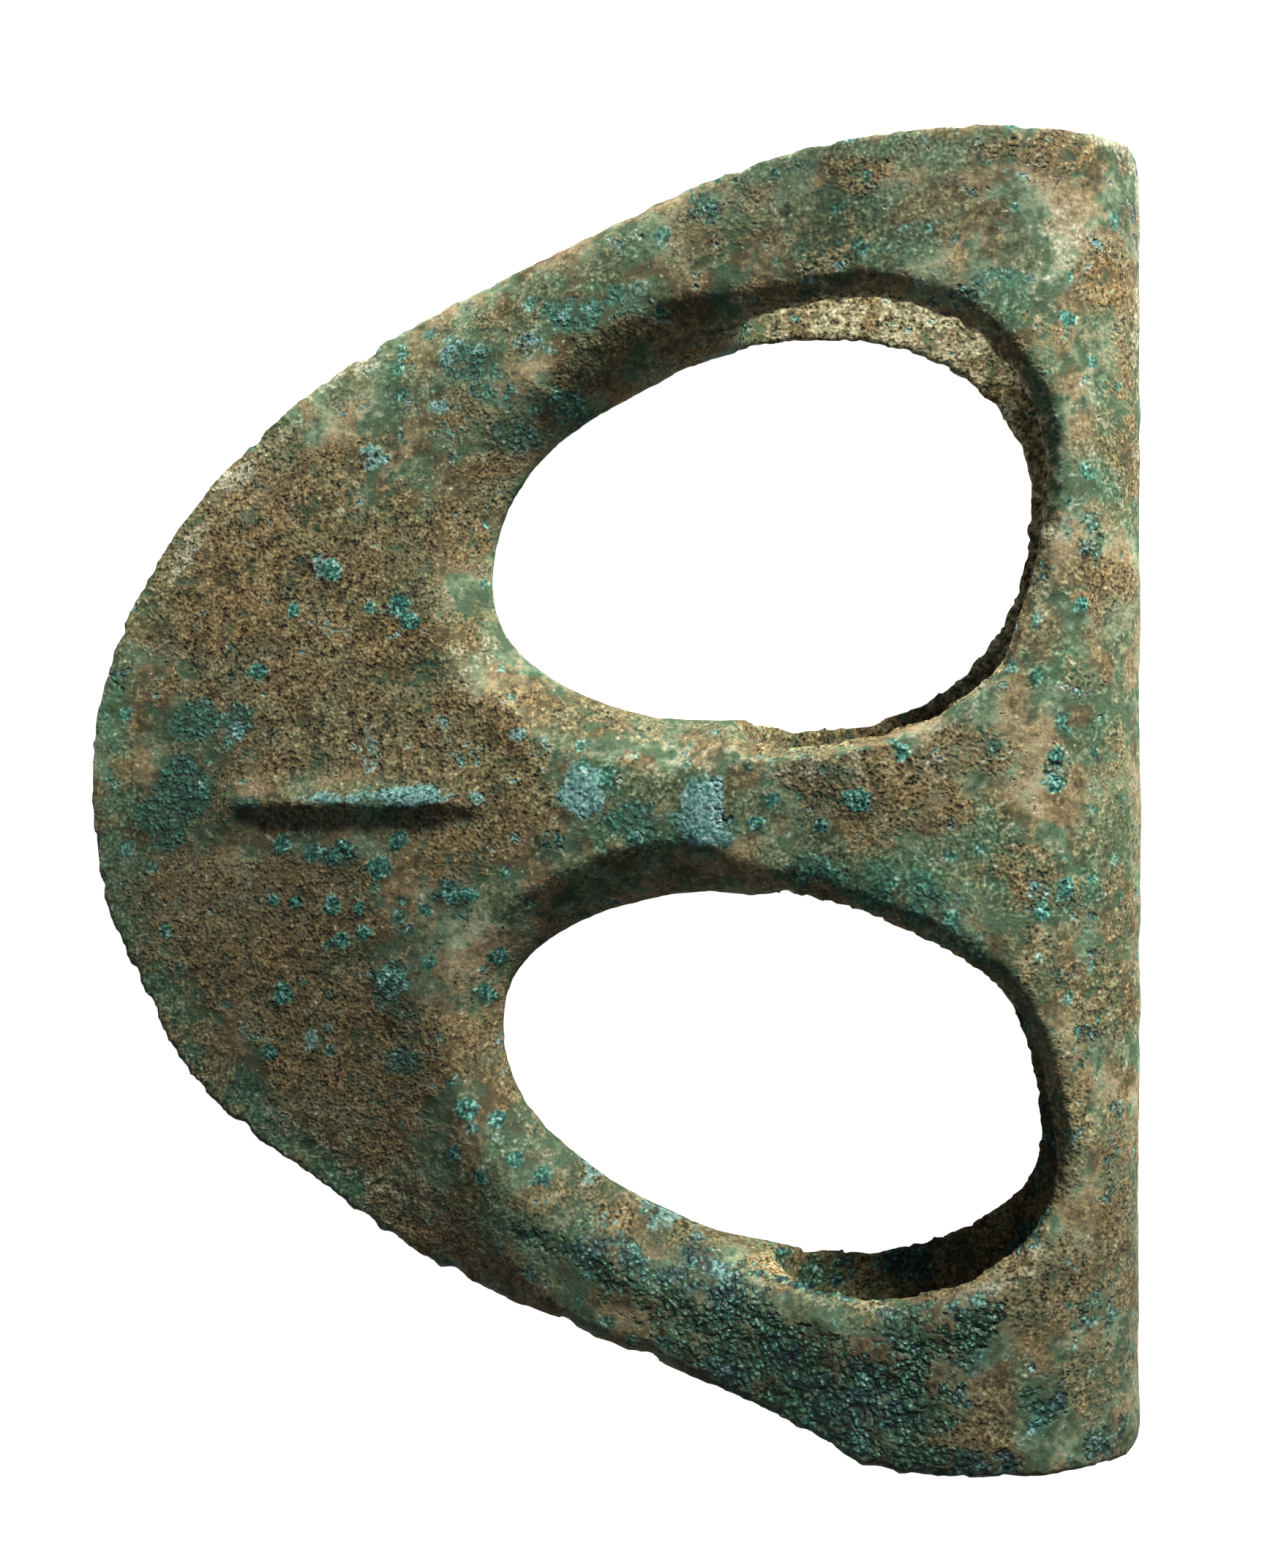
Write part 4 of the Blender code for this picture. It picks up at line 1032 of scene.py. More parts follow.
@dataclass(frozen=True)
class Weathering:
    """The ground's growths, relief and eaten edges on the casting, and painted light and shade.

    Attributes:
        form: The casting's shape.
        patches, pustules, nicks: What is placed, the pustules by middle and radius.
        unevenness, roughness: Height of the broad cast waves and of the finer ones.
        loss: How far the whole face has sunk, which makes room for what grows on it.
        pit_depth: Depth of the scattered pits.
        soil_thickness, soil_lumps, soil_grains: Heights of the soil and of what is on it.
        wart_radius: Radius of a wart as a share of the distance between warts.
        crust, scab: Thickness, height of the lowest warts, and what the highest have more.
        bloom_thickness, bloom_grains: Heights of the bloom and of what is on it.
        pustule_height: Height of a pustule's ring.
        calm_in_hole: Share of the relief that the shaft hole's wall lacks.
        edge_reach: How far from the outer edge its bites are felt.
        edge_bite, low_edge_bite: Depth of its raggedness, and what its lower side has more.
        edge_swelling: How far the corroded edge stands out.
        rim_chips: Depth of the chips where the windows break into the shaft hole.
        wall_retreat: How much further the shown wall has broken under the upper window.
        mouth_round: Radius of the worn corners at the back of the mouths.
        mouth_chips, mouth_swelling: Depth of the mouths' chips, and how far they stand out.
        cavity_shade_depth: Depth below its surroundings at which a point takes full painted shade.
        painted_light_stations: Distance from the back and the painted light's factor there.
    """

    form: HeadForm
    patches: tuple[Patch, ...]
    pustules: tuple[tuple[float, float, float], ...]
    nicks: tuple[Nick, ...]
    unevenness: float = 0.16
    roughness: float = 0.07
    loss: float = 0.27
    pit_depth: float = 0.12
    soil_thickness: float = 0.12
    soil_lumps: float = 0.07
    soil_grains: float = 0.06
    wart_radius: float = 0.62
    crust: tuple[float, float, float] = (0.06, 0.12, 0.14)
    scab: tuple[float, float, float] = (0.03, 0.05, 0.08)
    bloom_thickness: float = 0.10
    bloom_grains: float = 0.06
    pustule_height: float = 0.16
    calm_in_hole: float = 0.4
    edge_reach: float = 2.6
    edge_bite: float = 0.12
    low_edge_bite: float = 0.13
    edge_swelling: float = 0.36
    rim_chips: float = 0.50
    wall_retreat: float = 1.5
    mouth_round: float = 1.9
    mouth_chips: float = 0.30
    mouth_swelling: float = 0.26
    cavity_shade_depth: float = 0.06
    # Painted highlight on the back's round band, which faces the light, and painted shade towards
    # the cutting edge.
    painted_light_stations: tuple[tuple[float, float], ...] = (
        (0.0, 1.38), (4.0, 1.18), (12.0, 1.06), (40.0, 1.13), (56.0, 1.08), (72.0, 0.88),
        (85.0, 0.84),
    )

    def on_shown_face(self, points: np.ndarray) -> np.ndarray:
        """1 on the shown face, 0 on the hidden one, with a soft change at the seam."""
        return smooth_step(-1.5, 0.8, points[:, 2])

    def growths(self, points: np.ndarray) -> dict[Growth, np.ndarray]:
        """Thickness of each placed growth at points of the surface.

        The shown face has the placed patches. The hidden face has the same ones turned end
        for end.

        Args:
            points: (n, 3) in the mould frame.

        Returns:
            (n,) values from 0 to 1 for each growth.
        """
        ragged = Noise.layered(points, 3.2, seed=51)
        shown = self.on_shown_face(points)
        flipped = points[:, :2] * np.array([1.0, -1.0])
        found = {}
        for growth in Growth:
            near = np.zeros(len(points))
            far = np.zeros(len(points))
            for patch in self.patches:
                if patch.growth is growth:
                    near = np.maximum(near, patch.cover(points[:, :2], ragged))
                    far = np.maximum(far, patch.cover(flipped, ragged))
            found[growth] = shown * near + (1.0 - shown) * far
        return found

    def inside_hole(self, points: np.ndarray) -> np.ndarray:
        """How surely each point lies on the shaft hole's own wall.

        Args:
            points: (n, 3) in the mould frame.

        Returns:
            (n,) 1 on the hole's wall, 0 on the faces, with a short blend between.
        """
        depth = -points[:, 0]
        below = self.form.section(depth) - np.abs(points[:, 2])
        in_reach = smooth_step(self.form.hole_depth_top + 1.5, self.form.hole_depth_bottom, depth)
        behind = smooth_step(1.2, 2.4, depth)
        return smooth_step(0.9, 1.9, below) * in_reach * behind

    def cover_walls(
        self, points: np.ndarray, growths: dict[Growth, np.ndarray], inside: np.ndarray
    ) -> None:
        """Add the growths of walls, edge and shaft hole to the placed ones.

        Soil lines the windows' walls and fills the shaft hole, the blade's edge has a damp
        green rim, and the hole is dry and pale above, dark with crust below.

        Args:
            points: (n, 3) in the mould frame.
            growths: (n,) thickness of each growth, which this changes.
            inside: (n,) 1 on the shaft hole's wall.
        """
        wall = smooth_step(2.6, 1.0, self.form.to_window(points[:, :2])) * (1.0 - inside)
        from_edge = self.form.to_edge(points[:, :2])
        damp_rim = smooth_step(3.6, 1.6, from_edge) * smooth_step(-52.0, -62.0, points[:, 0])
        damp_rim *= 0.55 + 0.45 * smooth_step(4.0, -10.0, points[:, 1])
        dry = inside * smooth_step(2.0, 12.0, points[:, 1])
        dark = smooth_step(-0.05, 0.25, Noise.layered(points, 3.4, seed=71, layers=3))
        dark *= inside * smooth_step(4.0, -10.0, points[:, 1])
        on_faces = (Growth.CRUST, Growth.TEAL, Growth.GREEN, Growth.PALE, Growth.BLOOM)

        growths[Growth.GREEN] = np.maximum(growths[Growth.GREEN], damp_rim)
        for growth in on_faces:
            growths[growth] = growths[growth] * (1.0 - 0.85 * inside)
        for growth, amount, where in (
            (Growth.EARTH, 0.35, wall),
            (Growth.EARTH, 0.95, inside),
            (Growth.RUST, 0.25, inside),
            (Growth.PALE, 0.55, dry),
            (Growth.CRUST, 0.80, dark),
        ):
            growths[growth] = np.maximum(growths[growth], amount * where)

    def eaten_edge(self, points: np.ndarray) -> np.ndarray:
        """How far the ground has moved the outer edge: eaten inwards or swollen outwards.

        A point near the edge moves straight inwards by the bite at its nearest edge point.
        The bite is noise that grows towards the blade's lower side, plus the placed nicks,
        less the swelling of the corroded edge, which fades towards the mouths.

        Args:
            points: (n, 3) in the mould frame.

        Returns:
            (n, 3) moves in millimetres.
        """
        edge = self.form.outer_edge()
        distance, index = nearest(edge, points[:, :2])
        tangent = np.gradient(edge, axis=0)
        tangent /= np.linalg.norm(tangent, axis=1)[:, None]
        inward = np.column_stack([-tangent[:, 1], tangent[:, 0]])
        middle = np.array([-35.0, 0.0])
        inward *= np.sign(((middle - edge) * inward).sum(axis=1))[:, None]
        at_edge = np.column_stack([edge, np.zeros(len(edge))])
        low_blade = smooth_step(5.0, -18.0, edge[:, 1]) * smooth_step(-30.0, -48.0, edge[:, 0])
        ragged = self.edge_bite + self.low_edge_bite * low_blade
        bite = ragged * (
            1.2 * np.abs(Noise.layered(at_edge, 2.6, seed=5, layers=3))
            + 0.6 * Noise.value(at_edge, 0.8, seed=6)
        )
        for nick in self.nicks:
            off = far_from(edge, nick.x, nick.y) / nick.half_width
            bite = bite + nick.depth * np.clip(1.0 - off**2, 0.0, 1.0)
        from_mouth = self.form.socket_length / 2 - np.abs(edge[:, 1])
        bite -= self.edge_swelling * smooth_step(0.0, 7.0, from_mouth)
        near_edge = smooth_step(self.edge_reach, 0.2, distance)
        move = inward[index] * (bite[index] * near_edge)[:, None]
        return np.column_stack([move, np.zeros(len(points))])

    def broken_rims(self, points: np.ndarray) -> np.ndarray:
        """Ragged retreat of the thin wall where the windows break into the shaft hole.

        Near those rims points move away from the window's centre by the noise there. Under
        the upper window the shown wall has broken further back than the hidden one.

        Args:
            points: (n, 3) in the mould frame.

        Returns:
            (n, 3) moves in millimetres.
        """
        depth = -points[:, 0]
        moves = np.zeros((len(points), 3))
        by_hole = smooth_step(self.form.hole_depth_top, self.form.hole_depth_bottom - 2.0, depth)
        for side in (1, -1):
            distance, _ = nearest(self.form.window_rim(side), points[:, :2])
            away = points[:, :2] - self.form.window_centre(side)
            away /= np.linalg.norm(away, axis=1)[:, None]
            noise = Noise.layered(points, 1.4, seed=31 + side, layers=3)
            ragged = self.rim_chips * np.abs(noise)
            amount = ragged * smooth_step(3.0, 0.6, distance) * by_hole
            if side > 0:
                under = smooth_step(-4.0, -10.0, points[:, 1] - self.form.window_centre(side)[1])
                along = smooth_step(31.8, 29.8, depth) * smooth_step(9.0, 13.0, depth)
                shown = smooth_step(-0.4, 1.0, points[:, 2])
                near = smooth_step(4.5, 0.8, distance)
                amount += self.wall_retreat * under * along * shown * near
            moves[:, :2] += away * amount[:, None]
        return moves

    def worn_mouths(self, points: np.ndarray) -> np.ndarray:
        """Chipped mouth rims, and the corners at the back worn round.

        Close to a mouth points move along the socket, towards its middle: by noise less the
        swelling, and at the back by a quarter circle's fall.

        Args:
            points: (n, 3) in the mould frame.

        Returns:
            (n, 3) moves in millimetres.
        """
        from_mouth = self.form.socket_length / 2 - np.abs(points[:, 1])
        noise = Noise.layered(points, 1.7, seed=61, layers=3)
        ragged = self.mouth_chips * np.abs(noise) - self.mouth_swelling
        from_back = np.clip(1.0 + points[:, 0] / self.mouth_round, 0.0, 1.0)
        corner = self.mouth_round * (1.0 - np.sqrt(1.0 - from_back**2))
        amount = ragged * smooth_step(1.5, 0.0, from_mouth)
        amount += corner * smooth_step(2.0 * self.mouth_round, 0.0, from_mouth)
        moves = np.zeros((len(points), 3))
        moves[:, 1] = -np.sign(points[:, 1]) * amount
        return moves

    def relief(self, points: np.ndarray, growths: dict[Growth, np.ndarray]) -> np.ndarray:
        """Height of the weathered surface over the casting, in millimetres.

        Broad cast unevenness and pitting lie everywhere. Soil adds a lumpy layer, the dark
        crust adds warts whose tops are rounded cells, bloom a thin scab, and each pustule a
        ring with a sunk middle.

        Args:
            points: (n, 3) in the mould frame.
            growths: (n,) thickness of each growth.

        Returns:
            (n,) heights along the normal.
        """
        height = self.unevenness * Noise.layered(points, 9.0, seed=1, layers=3)
        height += self.roughness * Noise.layered(points, 2.4, seed=2)
        height -= self.loss
        pits, _ = Noise.cells(points, 2.9, seed=41)
        height -= self.pit_depth * smooth_step(0.30, 0.10, pits)
        lumps, _ = Noise.cells(points, 1.0, seed=42)
        fine = Noise.layered(points, 1.3, seed=3, layers=3)
        height += growths[Growth.EARTH] * (
            self.soil_thickness + self.soil_lumps * (0.5 - lumps) + self.soil_grains * fine
        )
        warts, size = Noise.cells(points, 1.05, seed=43)
        dome = np.sqrt(np.clip(1.0 - (warts / self.wart_radius) ** 2, 0.0, 1.0))
        for growth, (thickness, lowest, more) in (
            (Growth.CRUST, self.crust),
            (Growth.TEAL, self.scab),
        ):
            height += growths[growth] * (thickness + (lowest + more * size) * dome)
        height += growths[Growth.BLOOM] * (self.bloom_thickness + self.bloom_grains * fine)
        shown = self.on_shown_face(points)
        for x, y, radius in self.pustules:
            far = far_from(points, x, y) / radius
            ring = np.exp(-(((far - 0.75) / 0.35) ** 2)) - 0.4 * np.exp(-((far / 0.35) ** 2))
            height += self.pustule_height * shown * ring
        return height

    def painted_light(self, points: np.ndarray, inside: np.ndarray) -> np.ndarray:
        """Half the painted-light factor on the colours: light at the back, dark on the blade.

        The stations' factor is a painted highlight on the back, whose round band faces the light,
        and painted shade towards the cutting edge. It is lowered as painted shade on the blade's
        lower half and by the lower mouth, where the light falls off, and by the upper mouth, whose
        top edge faces the light; it is raised as painted light along the cutting edge, whose slope
        faces away from it. The shaft hole's wall has a painted light of its own.

        Args:
            points: (n, 3) in the mould frame.
            inside: (n,) 1 on the shaft hole's wall.

        Returns:
            (n,) values from 0 to 1.
        """
        depth = -points[:, 0]
        stations, factors = np.array(self.painted_light_stations).T
        factor = np.interp(depth, stations, factors)
        # Painted shade on the blade's lower half and by both mouths; painted light along the
        # cutting edge, which leans away from the light.
        low = smooth_step(4.0, -4.0, points[:, 1]) * smooth_step(36.0, 56.0, depth)
        bottom = smooth_step(-22.0, -33.0, points[:, 1]) * smooth_step(58.0, 46.0, depth)
        from_edge = self.form.to_edge(points[:, :2])
        edge = smooth_step(4.5, 0.5, from_edge) * smooth_step(46.0, 62.0, depth)
        top = smooth_step(36.0, 43.0, points[:, 1]) * smooth_step(40.0, 24.0, depth)
        factor = factor * (1.0 - 0.33 * low) * (1.0 - 0.30 * bottom) * (1.0 - 0.16 * top)
        factor = factor * (1.0 + 0.4 * edge)
        # Painted light on the shaft hole's wall, which the lamp hardly reaches: lighter deep in
        # low down, darker low down near the back.
        at_bottom = smooth_step(4.0, -24.0, points[:, 1])
        in_hole = 1.45 + at_bottom * (0.30 - 0.80 * smooth_step(25.0, 15.0, depth))
        return 0.5 * (factor * (1.0 - inside) + in_hole * inside)

    def pustule_cover(self, points: np.ndarray) -> np.ndarray:
        """How much of a placed pustule covers each point.

        Args:
            points: (n, 3) in the mould frame.

        Returns:
            (n,) 1 on a pustule, falling to 0 past its rim.
        """
        shown = self.on_shown_face(points)
        cover = np.zeros(len(points))
        for x, y, radius in self.pustules:
            far = far_from(points, x, y) / radius
            cover = np.maximum(cover, shown * smooth_step(1.6, 0.6, far))
        return cover

    def apply(self, mesh: bpy.types.Mesh) -> None:
        """Eat, cover and colour the mesh: moves its vertices and stores its attributes.

        Args:
            mesh: The casting's surface in the mould frame, in millimetres.
        """
        points = evened(mesh, places(mesh), rounds=2, share=0.5)
        growths = self.growths(points)
        inside = self.inside_hole(points)
        self.cover_walls(points, growths, inside)

        height = self.relief(points, growths)
        put_places(mesh, points)
        moved = points + self.eaten_edge(points) + self.broken_rims(points)
        moved += self.worn_mouths(points)
        moved += outward(mesh) * (height * (1.0 - self.calm_in_hole * inside))[:, None]
        put_places(mesh, moved)

        # Painted shade in hollows: how far each point lies below its evened surroundings, stored
        # with the painted light over the whole head.
        hollow = evened(mesh, height[:, None], rounds=6, share=0.7)[:, 0] - height
        sunk = np.clip(hollow / self.cavity_shade_depth, 0.0, 1.0)
        thick = {growth.value: cover for growth, cover in growths.items()}
        store_colour(mesh, "growth", (thick["earth"], thick["green"], thick["crust"]))
        store_colour(mesh, "wear", (thick["pale"], thick["bloom"], self.pustule_cover(points)))
        store_colour(mesh, "shelter", (sunk, self.painted_light(points, inside)))
        store_colour(mesh, "salts", (thick["teal"], thick["rust"]))


def store_colour(mesh: bpy.types.Mesh, name: str, fields: tuple[np.ndarray, ...]) -> None:
    """Keep up to three fields in one colour attribute of the mesh's vertices.

    Args:
        mesh: Mesh that gets the attribute.
        name: Name of the attribute.
        fields: (n,) values from 0 to 1 for red, green and blue.
    """
    layer = mesh.attributes.new(name, "FLOAT_COLOR", "POINT")
    packed = np.zeros((len(mesh.vertices), 4), np.float32)
    packed[:, : len(fields)] = np.column_stack(fields)
    packed[:, 3] = 1.0
    layer.data.foreach_set("color", packed.ravel())


def linear(hex_colour: str) -> tuple[float, float, float, float]:
    """Scene-linear colour of an sRGB hex value.

    Args:
        hex_colour: Six hex digits such as "6d6249".

    Returns:
        Red, green, blue and an opacity of 1.
    """
    parts = np.array([int(hex_colour[at : at + 2], 16) for at in (0, 2, 4)]) / 255.0
    lit = np.where(parts <= 0.04045, parts / 12.92, ((parts + 0.055) / 1.055) ** 2.4)
    return (*map(float, lit), 1.0)


def add_node(
    tree: bpy.types.NodeTree,
    kind: str,
    settings: dict[str, Any] | None = None,
    inputs: dict[str | int, Any] | None = None,
    stops: tuple[tuple[float, str], ...] = (),
) -> bpy.types.Node:
    """Add one node with its settings and links.

    Args:
        tree: Tree that gets the node.
        kind: Blender's name of the node type, without "ShaderNode".
        settings: Properties of the node.
        inputs: Value, or output socket to link, for each input by name or number.
        stops: Places and hex colours of its colour ramp, if it has one.

    Returns:
        The node.
    """
    node = tree.nodes.new("ShaderNode" + kind)
    for name, setting in (settings or {}).items():
        setattr(node, name, setting)
    for name, given in (inputs or {}).items():
        if isinstance(given, bpy.types.NodeSocket):
            tree.links.new(given, node.inputs[name])
        else:
            node.inputs[name].default_value = given
    for _ in stops[2:]:
        node.color_ramp.elements.new(1.0)
    for number, (place, colour) in enumerate(stops):
        node.color_ramp.elements[number].position = place
        node.color_ramp.elements[number].color = linear(colour)
    return node


def per_mm(size: float) -> float:
    """Texture scale, in turns per metre, of a pattern that repeats about every size mm."""
    return 1.0 / (size * MM)


@dataclass(frozen=True)
class Pattern:
    """A noise all over the surface: the size of its lumps in mm and its layers of detail."""

    name: str
    size: float
    detail: float


@dataclass(frozen=True)
class Blend:
    """A weighted sum of named values that gets a name of its own.

    Attributes:
        name: Name of the result.
        plus: Constant in the sum.
        terms: Name and weight of each value.
        step: If given, the sum becomes a soft step from 0 to top between these two values.
        top: Value above the step.
        times: Name of a value that multiplies the result.
    """

    name: str
    plus: float
    terms: tuple[tuple[str, float], ...]
    step: tuple[float, float] | None = None
    top: float = 1.0
    times: str | None = None


@dataclass(frozen=True)
class Layer:
    """One growth over the bronze: how thick it must be to show, how densely, and its colours.

    Attributes:
        name: Name of its stored thickness or blend.
        low, high: The frayed thickness where it starts to show and where it is full.
        density: How much of what lies below it hides where it is full.
        shade: Name of the value that picks its colour.
        stops: Its colours, from low to high shade.
    """

    name: str
    low: float
    high: float
    density: float
    shade: str
    stops: tuple[tuple[float, str], ...]

    def cover(self) -> Blend:
        """Thickness frayed by noise of one, two and a half millimetre, cut off softly."""
        terms = ((self.name, 1.0), ("fray", 1.2), ("blotch", 2.0), ("grain", 0.7))
        return Blend(self.name + "_cover", -1.95, terms, (self.low, self.high), self.density)


@dataclass(frozen=True)
class BuriedBronze:
    """Tin bronze, cast in a two-part mould, after a long burial.

    No bare metal shows: the eye meets matt copper salts (green malachite, blue-green
    chloride crust, chalky bloom) and fine sandy soil bound into them. So it is a rough
    dielectric, and only the crust's rounded warts have a slight gloss.

    Pattern, wart and scatter sizes are in millimetres. The real sand is about 0.1 mm wide,
    too fine for the picture, so the grit is drawn two and a half times as coarse.
    """

    name: str = "buried_tin_bronze"
    patterns: tuple[Pattern, ...] = (
        Pattern("mottle", 7.0, 1.0),
        Pattern("damp", 4.6, 1.0),
        Pattern("tint", 3.6, 1.0),
        Pattern("blotch", 2.2, 2.0),
        Pattern("fray", 0.9, 2.0),
        Pattern("grain", 0.55, 2.0),
        Pattern("grit", 0.26, 0.0),
    )
    wart: float = 0.5
    scatter: float = 2.1
    layer_strength: float = 0.6
    bump_height: float = 1.0
    rough: float = 0.85
    wart_rough: float = 0.5
    stored: tuple[tuple[str, tuple[str, ...]], ...] = (
        ("growth", ("earth", "green", "crust")),
        # Pale patches, partly painted highlight on rims and edges that face the light, with bloom
        # and pustules.
        ("wear", ("pale", "bloom", "pustule")),
        # Painted shade in hollows and painted light over the whole head.
        ("shelter", ("sunk", "painted_light")),
        ("salts", ("teal", "rust")),
    )
    blends: tuple[Blend, ...] = (
        Blend("tone", -1.25, (("mottle", 1.2), ("blotch", 1.2), ("fray", 0.7), ("grain", 0.4))),
        Blend("speckle", -0.35, (("grain", 1.0), ("grit", 0.7))),
        Blend(
            "soil_tone", -0.65, (("grain", 0.8), ("grit", 0.55), ("fray", 0.35), ("blotch", 0.6))
        ),
        Blend("warmth", -1.50, (("tint", 3.0), ("fray", 0.6), ("grain", 0.4)), (0.34, 0.62)),
        Blend("moss", -1.40, (("damp", 2.6), ("fray", 0.8), ("grain", 0.4)), (0.48, 0.80), 0.6),
        Blend("rusty", -1.60, (("tint", 2.8), ("fray", 0.9), ("grain", 0.5)), (0.60, 0.95), 0.45),
        Blend("bluish", -0.9, (("damp", 1.6), ("fray", 1.2)), (0.42, 0.70), 0.75, "crust_cover"),
        Blend("few", 0.0, (("chosen", 1.0), ("earth", -0.30)), (0.52, 0.54)),
        Blend(
            "wild", -0.66, (("far", 1.0), ("chosen", 0.6), ("fray", 0.3)), (0.26, 0.08), 0.8, "few"
        ),
        Blend("placed", -0.9, (("pustule", 1.0), ("fray", 1.8)), (0.20, 0.75)),
        Blend("specks", 0.0, (("grit", 1.0), ("grain", 0.6)), (1.10, 1.22), 0.5),
        Blend("broken", -1.0, (("blotch", 1.0), ("tint", 1.0)), (-0.02, 0.10)),
        Blend("crack_side", 0.0, (("fray", 1.0),), (0.482, 0.497), times="broken"),
        Blend("cracked", 0.0, (("fray", 1.0),), (0.518, 0.503), times="crack_side"),
        Blend("pored", 0.0, (("grain", 1.0), ("grit", 0.3)), (0.54, 0.42)),
        # Painted light: twice the stored painted-light field.
        Blend("worn", 0.0, (("painted_light", 2.0),)),
        # Brightness factor: grit, less painted shade in hollows, cracks and pores, times the
        # painted light.
        Blend(
            "bright", 0.77, (("grit", 0.4), ("sunk", -0.28), ("cracked", -0.50), ("pored", -0.26)),
            times="worn",
        ),
        Blend("plain_rise", 0.0, (("fray", 0.10), ("grain", 0.05), ("grit", 0.015))),
        Blend("soil_rise", 0.0, (("cracked", -0.18), ("pored", -0.24), ("grit", 0.07))),
        Blend("wart_rise", 0.0, (("warts", -0.24),)),
        Blend("scab_rise", 0.0, (("warts", -0.14), ("grain", 0.06))),
    )
    salt_stops: tuple[tuple[float, str], ...] = (
        (0.28, "40563e"), (0.40, "556b52"), (0.49, "687c63"), (0.58, "7a886b"), (0.70, "8f997c"),
    )
    film_stops: tuple[tuple[float, str], ...] = (
        (0.28, "4c4831"), (0.40, "676149"), (0.49, "7a7255"), (0.58, "897f60"), (0.70, "9b9175"),
    )
    layers: tuple[Layer, ...] = (
        Layer("green", 0.15, 0.90, 0.85, "speckle", (
            (0.30, "1f3d2a"), (0.45, "35573f"), (0.58, "4b6c54"), (0.72, "759274"),
        )),
        Layer("earth", 0.15, 0.85, 0.92, "soil_tone", (
            (0.26, "2a2313"), (0.40, "4b4228"), (0.52, "665b3d"), (0.64, "7a6f4e"),
            (0.76, "908663"),
        )),
        # Pale bloom, partly painted highlight on rims, edges and the back that face the light.
        Layer("pale", 0.30, 1.05, 0.75, "speckle", (
            (0.30, "80836a"), (0.50, "9d9f86"), (0.70, "bcbfaa"),
        )),
        Layer("rust", 0.15, 0.95, 0.6, "soil_tone", (
            (0.30, "45361d"), (0.50, "756039"), (0.70, "9a855b"),
        )),
        # Scab and crust colours by distance from each wart's middle: painted highlight on the wart
        # tops, painted shade in the gaps between them.
        Layer("teal", 0.28, 0.92, 0.88, "warts", (
            (0.06, "7ab5a7"), (0.20, "40806f"), (0.38, "2b6154"), (0.65, "1d4a40"),
        )),
        Layer("crust", 0.32, 0.88, 0.92, "warts", (
            (0.06, "b4d8c4"), (0.15, "649c82"), (0.31, "376b55"), (0.56, "1a3a2a"),
        )),
        Layer("bloom", 0.32, 0.80, 0.9, "speckle", (
            (0.26, "31605d"), (0.50, "598884"), (0.74, "8bada8"),
        )),
    )
    moss_stops: tuple[tuple[float, str], ...] = (
        (0.30, "3a402a"), (0.50, "5c6146"), (0.70, "808165"),
    )
    rust_stops: tuple[tuple[float, str], ...] = (
        (0.30, "43351d"), (0.50, "725e39"), (0.70, "98845b"),
    )
    # Bluish crust by wart distance: painted highlight on the tops, painted shade between them.
    blue_stops: tuple[tuple[float, str], ...] = (
        (0.06, "b0cfcc"), (0.16, "5a8c8a"), (0.31, "315b5d"), (0.56, "17323a"),
    )
    pustule_stops: tuple[tuple[float, str], ...] = (
        (0.30, "153b35"), (0.46, "2a6358"), (0.60, "478778"), (0.74, "8fbaac"),
    )
    speck_stops: tuple[tuple[float, str], ...] = ((0.40, "a9ab92"), (0.70, "d0d0bb"))

    def named_values(self, tree: bpy.types.NodeTree) -> dict[str, bpy.types.NodeSocket]:
        """Add the patterns and the stored fields.

        Noise gives the patterns, cells bent by noise the warts and the scattered spots; the
        mesh's attributes give where each growth is thick.

        Args:
            tree: The material's nodes.

        Returns:
            An output socket for each name that blends and layers use.
        """
        place = add_node(tree, "TexCoord").outputs["Object"]
        values = {}
        for pattern in self.patterns:
            node = add_node(
                tree, "TexNoise", {"noise_dimensions": "3D"},
                {
                    "Vector": place, "Scale": per_mm(pattern.size),
                    "Detail": pattern.detail, "Roughness": self.layer_strength,
                },
            )
            values[pattern.name] = node.outputs["Fac"]
            if pattern.name == "fray":
                bent = add_node(
                    tree, "VectorMath", {"operation": "MULTIPLY_ADD"},
                    {0: node.outputs["Color"], 1: (pattern.size * MM,) * 3, 2: place},
                ).outputs[0]
        for name, size in (("warts", self.wart), ("far", self.scatter)):
            cells = add_node(
                tree, "TexVoronoi", {"feature": "F1"}, {"Vector": bent, "Scale": per_mm(size)}
            )
            values[name] = cells.outputs["Distance"]
        split = add_node(tree, "SeparateColor", {}, {"Color": cells.outputs["Color"]})
        values["chosen"] = split.outputs[0]
        for attribute, channels in self.stored:
            colour = add_node(tree, "Attribute", {"attribute_name": attribute}).outputs["Color"]
            split = add_node(tree, "SeparateColor", {}, {"Color": colour})
            values.update(zip(channels, split.outputs))
        return values

    def work_out(
        self,
        tree: bpy.types.NodeTree,
        values: dict[str, bpy.types.NodeSocket],
        blends: tuple[Blend, ...],
    ) -> None:
        """Add each blend's nodes in turn and put its result among the named values.

        Args:
            tree: The material's nodes.
            values: Output socket of each name; each blend adds its own.
            blends: Blends, each one after those that it uses.
        """
        for blend in blends:
            total: bpy.types.NodeSocket | float = blend.plus
            for name, weight in blend.terms:
                total = add_node(
                    tree, "Math", {"operation": "MULTIPLY_ADD"},
                    {0: values[name], 1: weight, 2: total},
                ).outputs[0]
            if blend.step:
                total = add_node(
                    tree, "MapRange", {"interpolation_type": "SMOOTHSTEP"},
                    {
                        "Value": total, "From Min": blend.step[0], "From Max": blend.step[1],
                        "To Max": blend.top,
                    },
                ).outputs[0]
            if blend.times:
                total = add_node(
                    tree, "Math", {"operation": "MULTIPLY"}, {0: total, 1: values[blend.times]}
                ).outputs[0]
            values[blend.name] = total

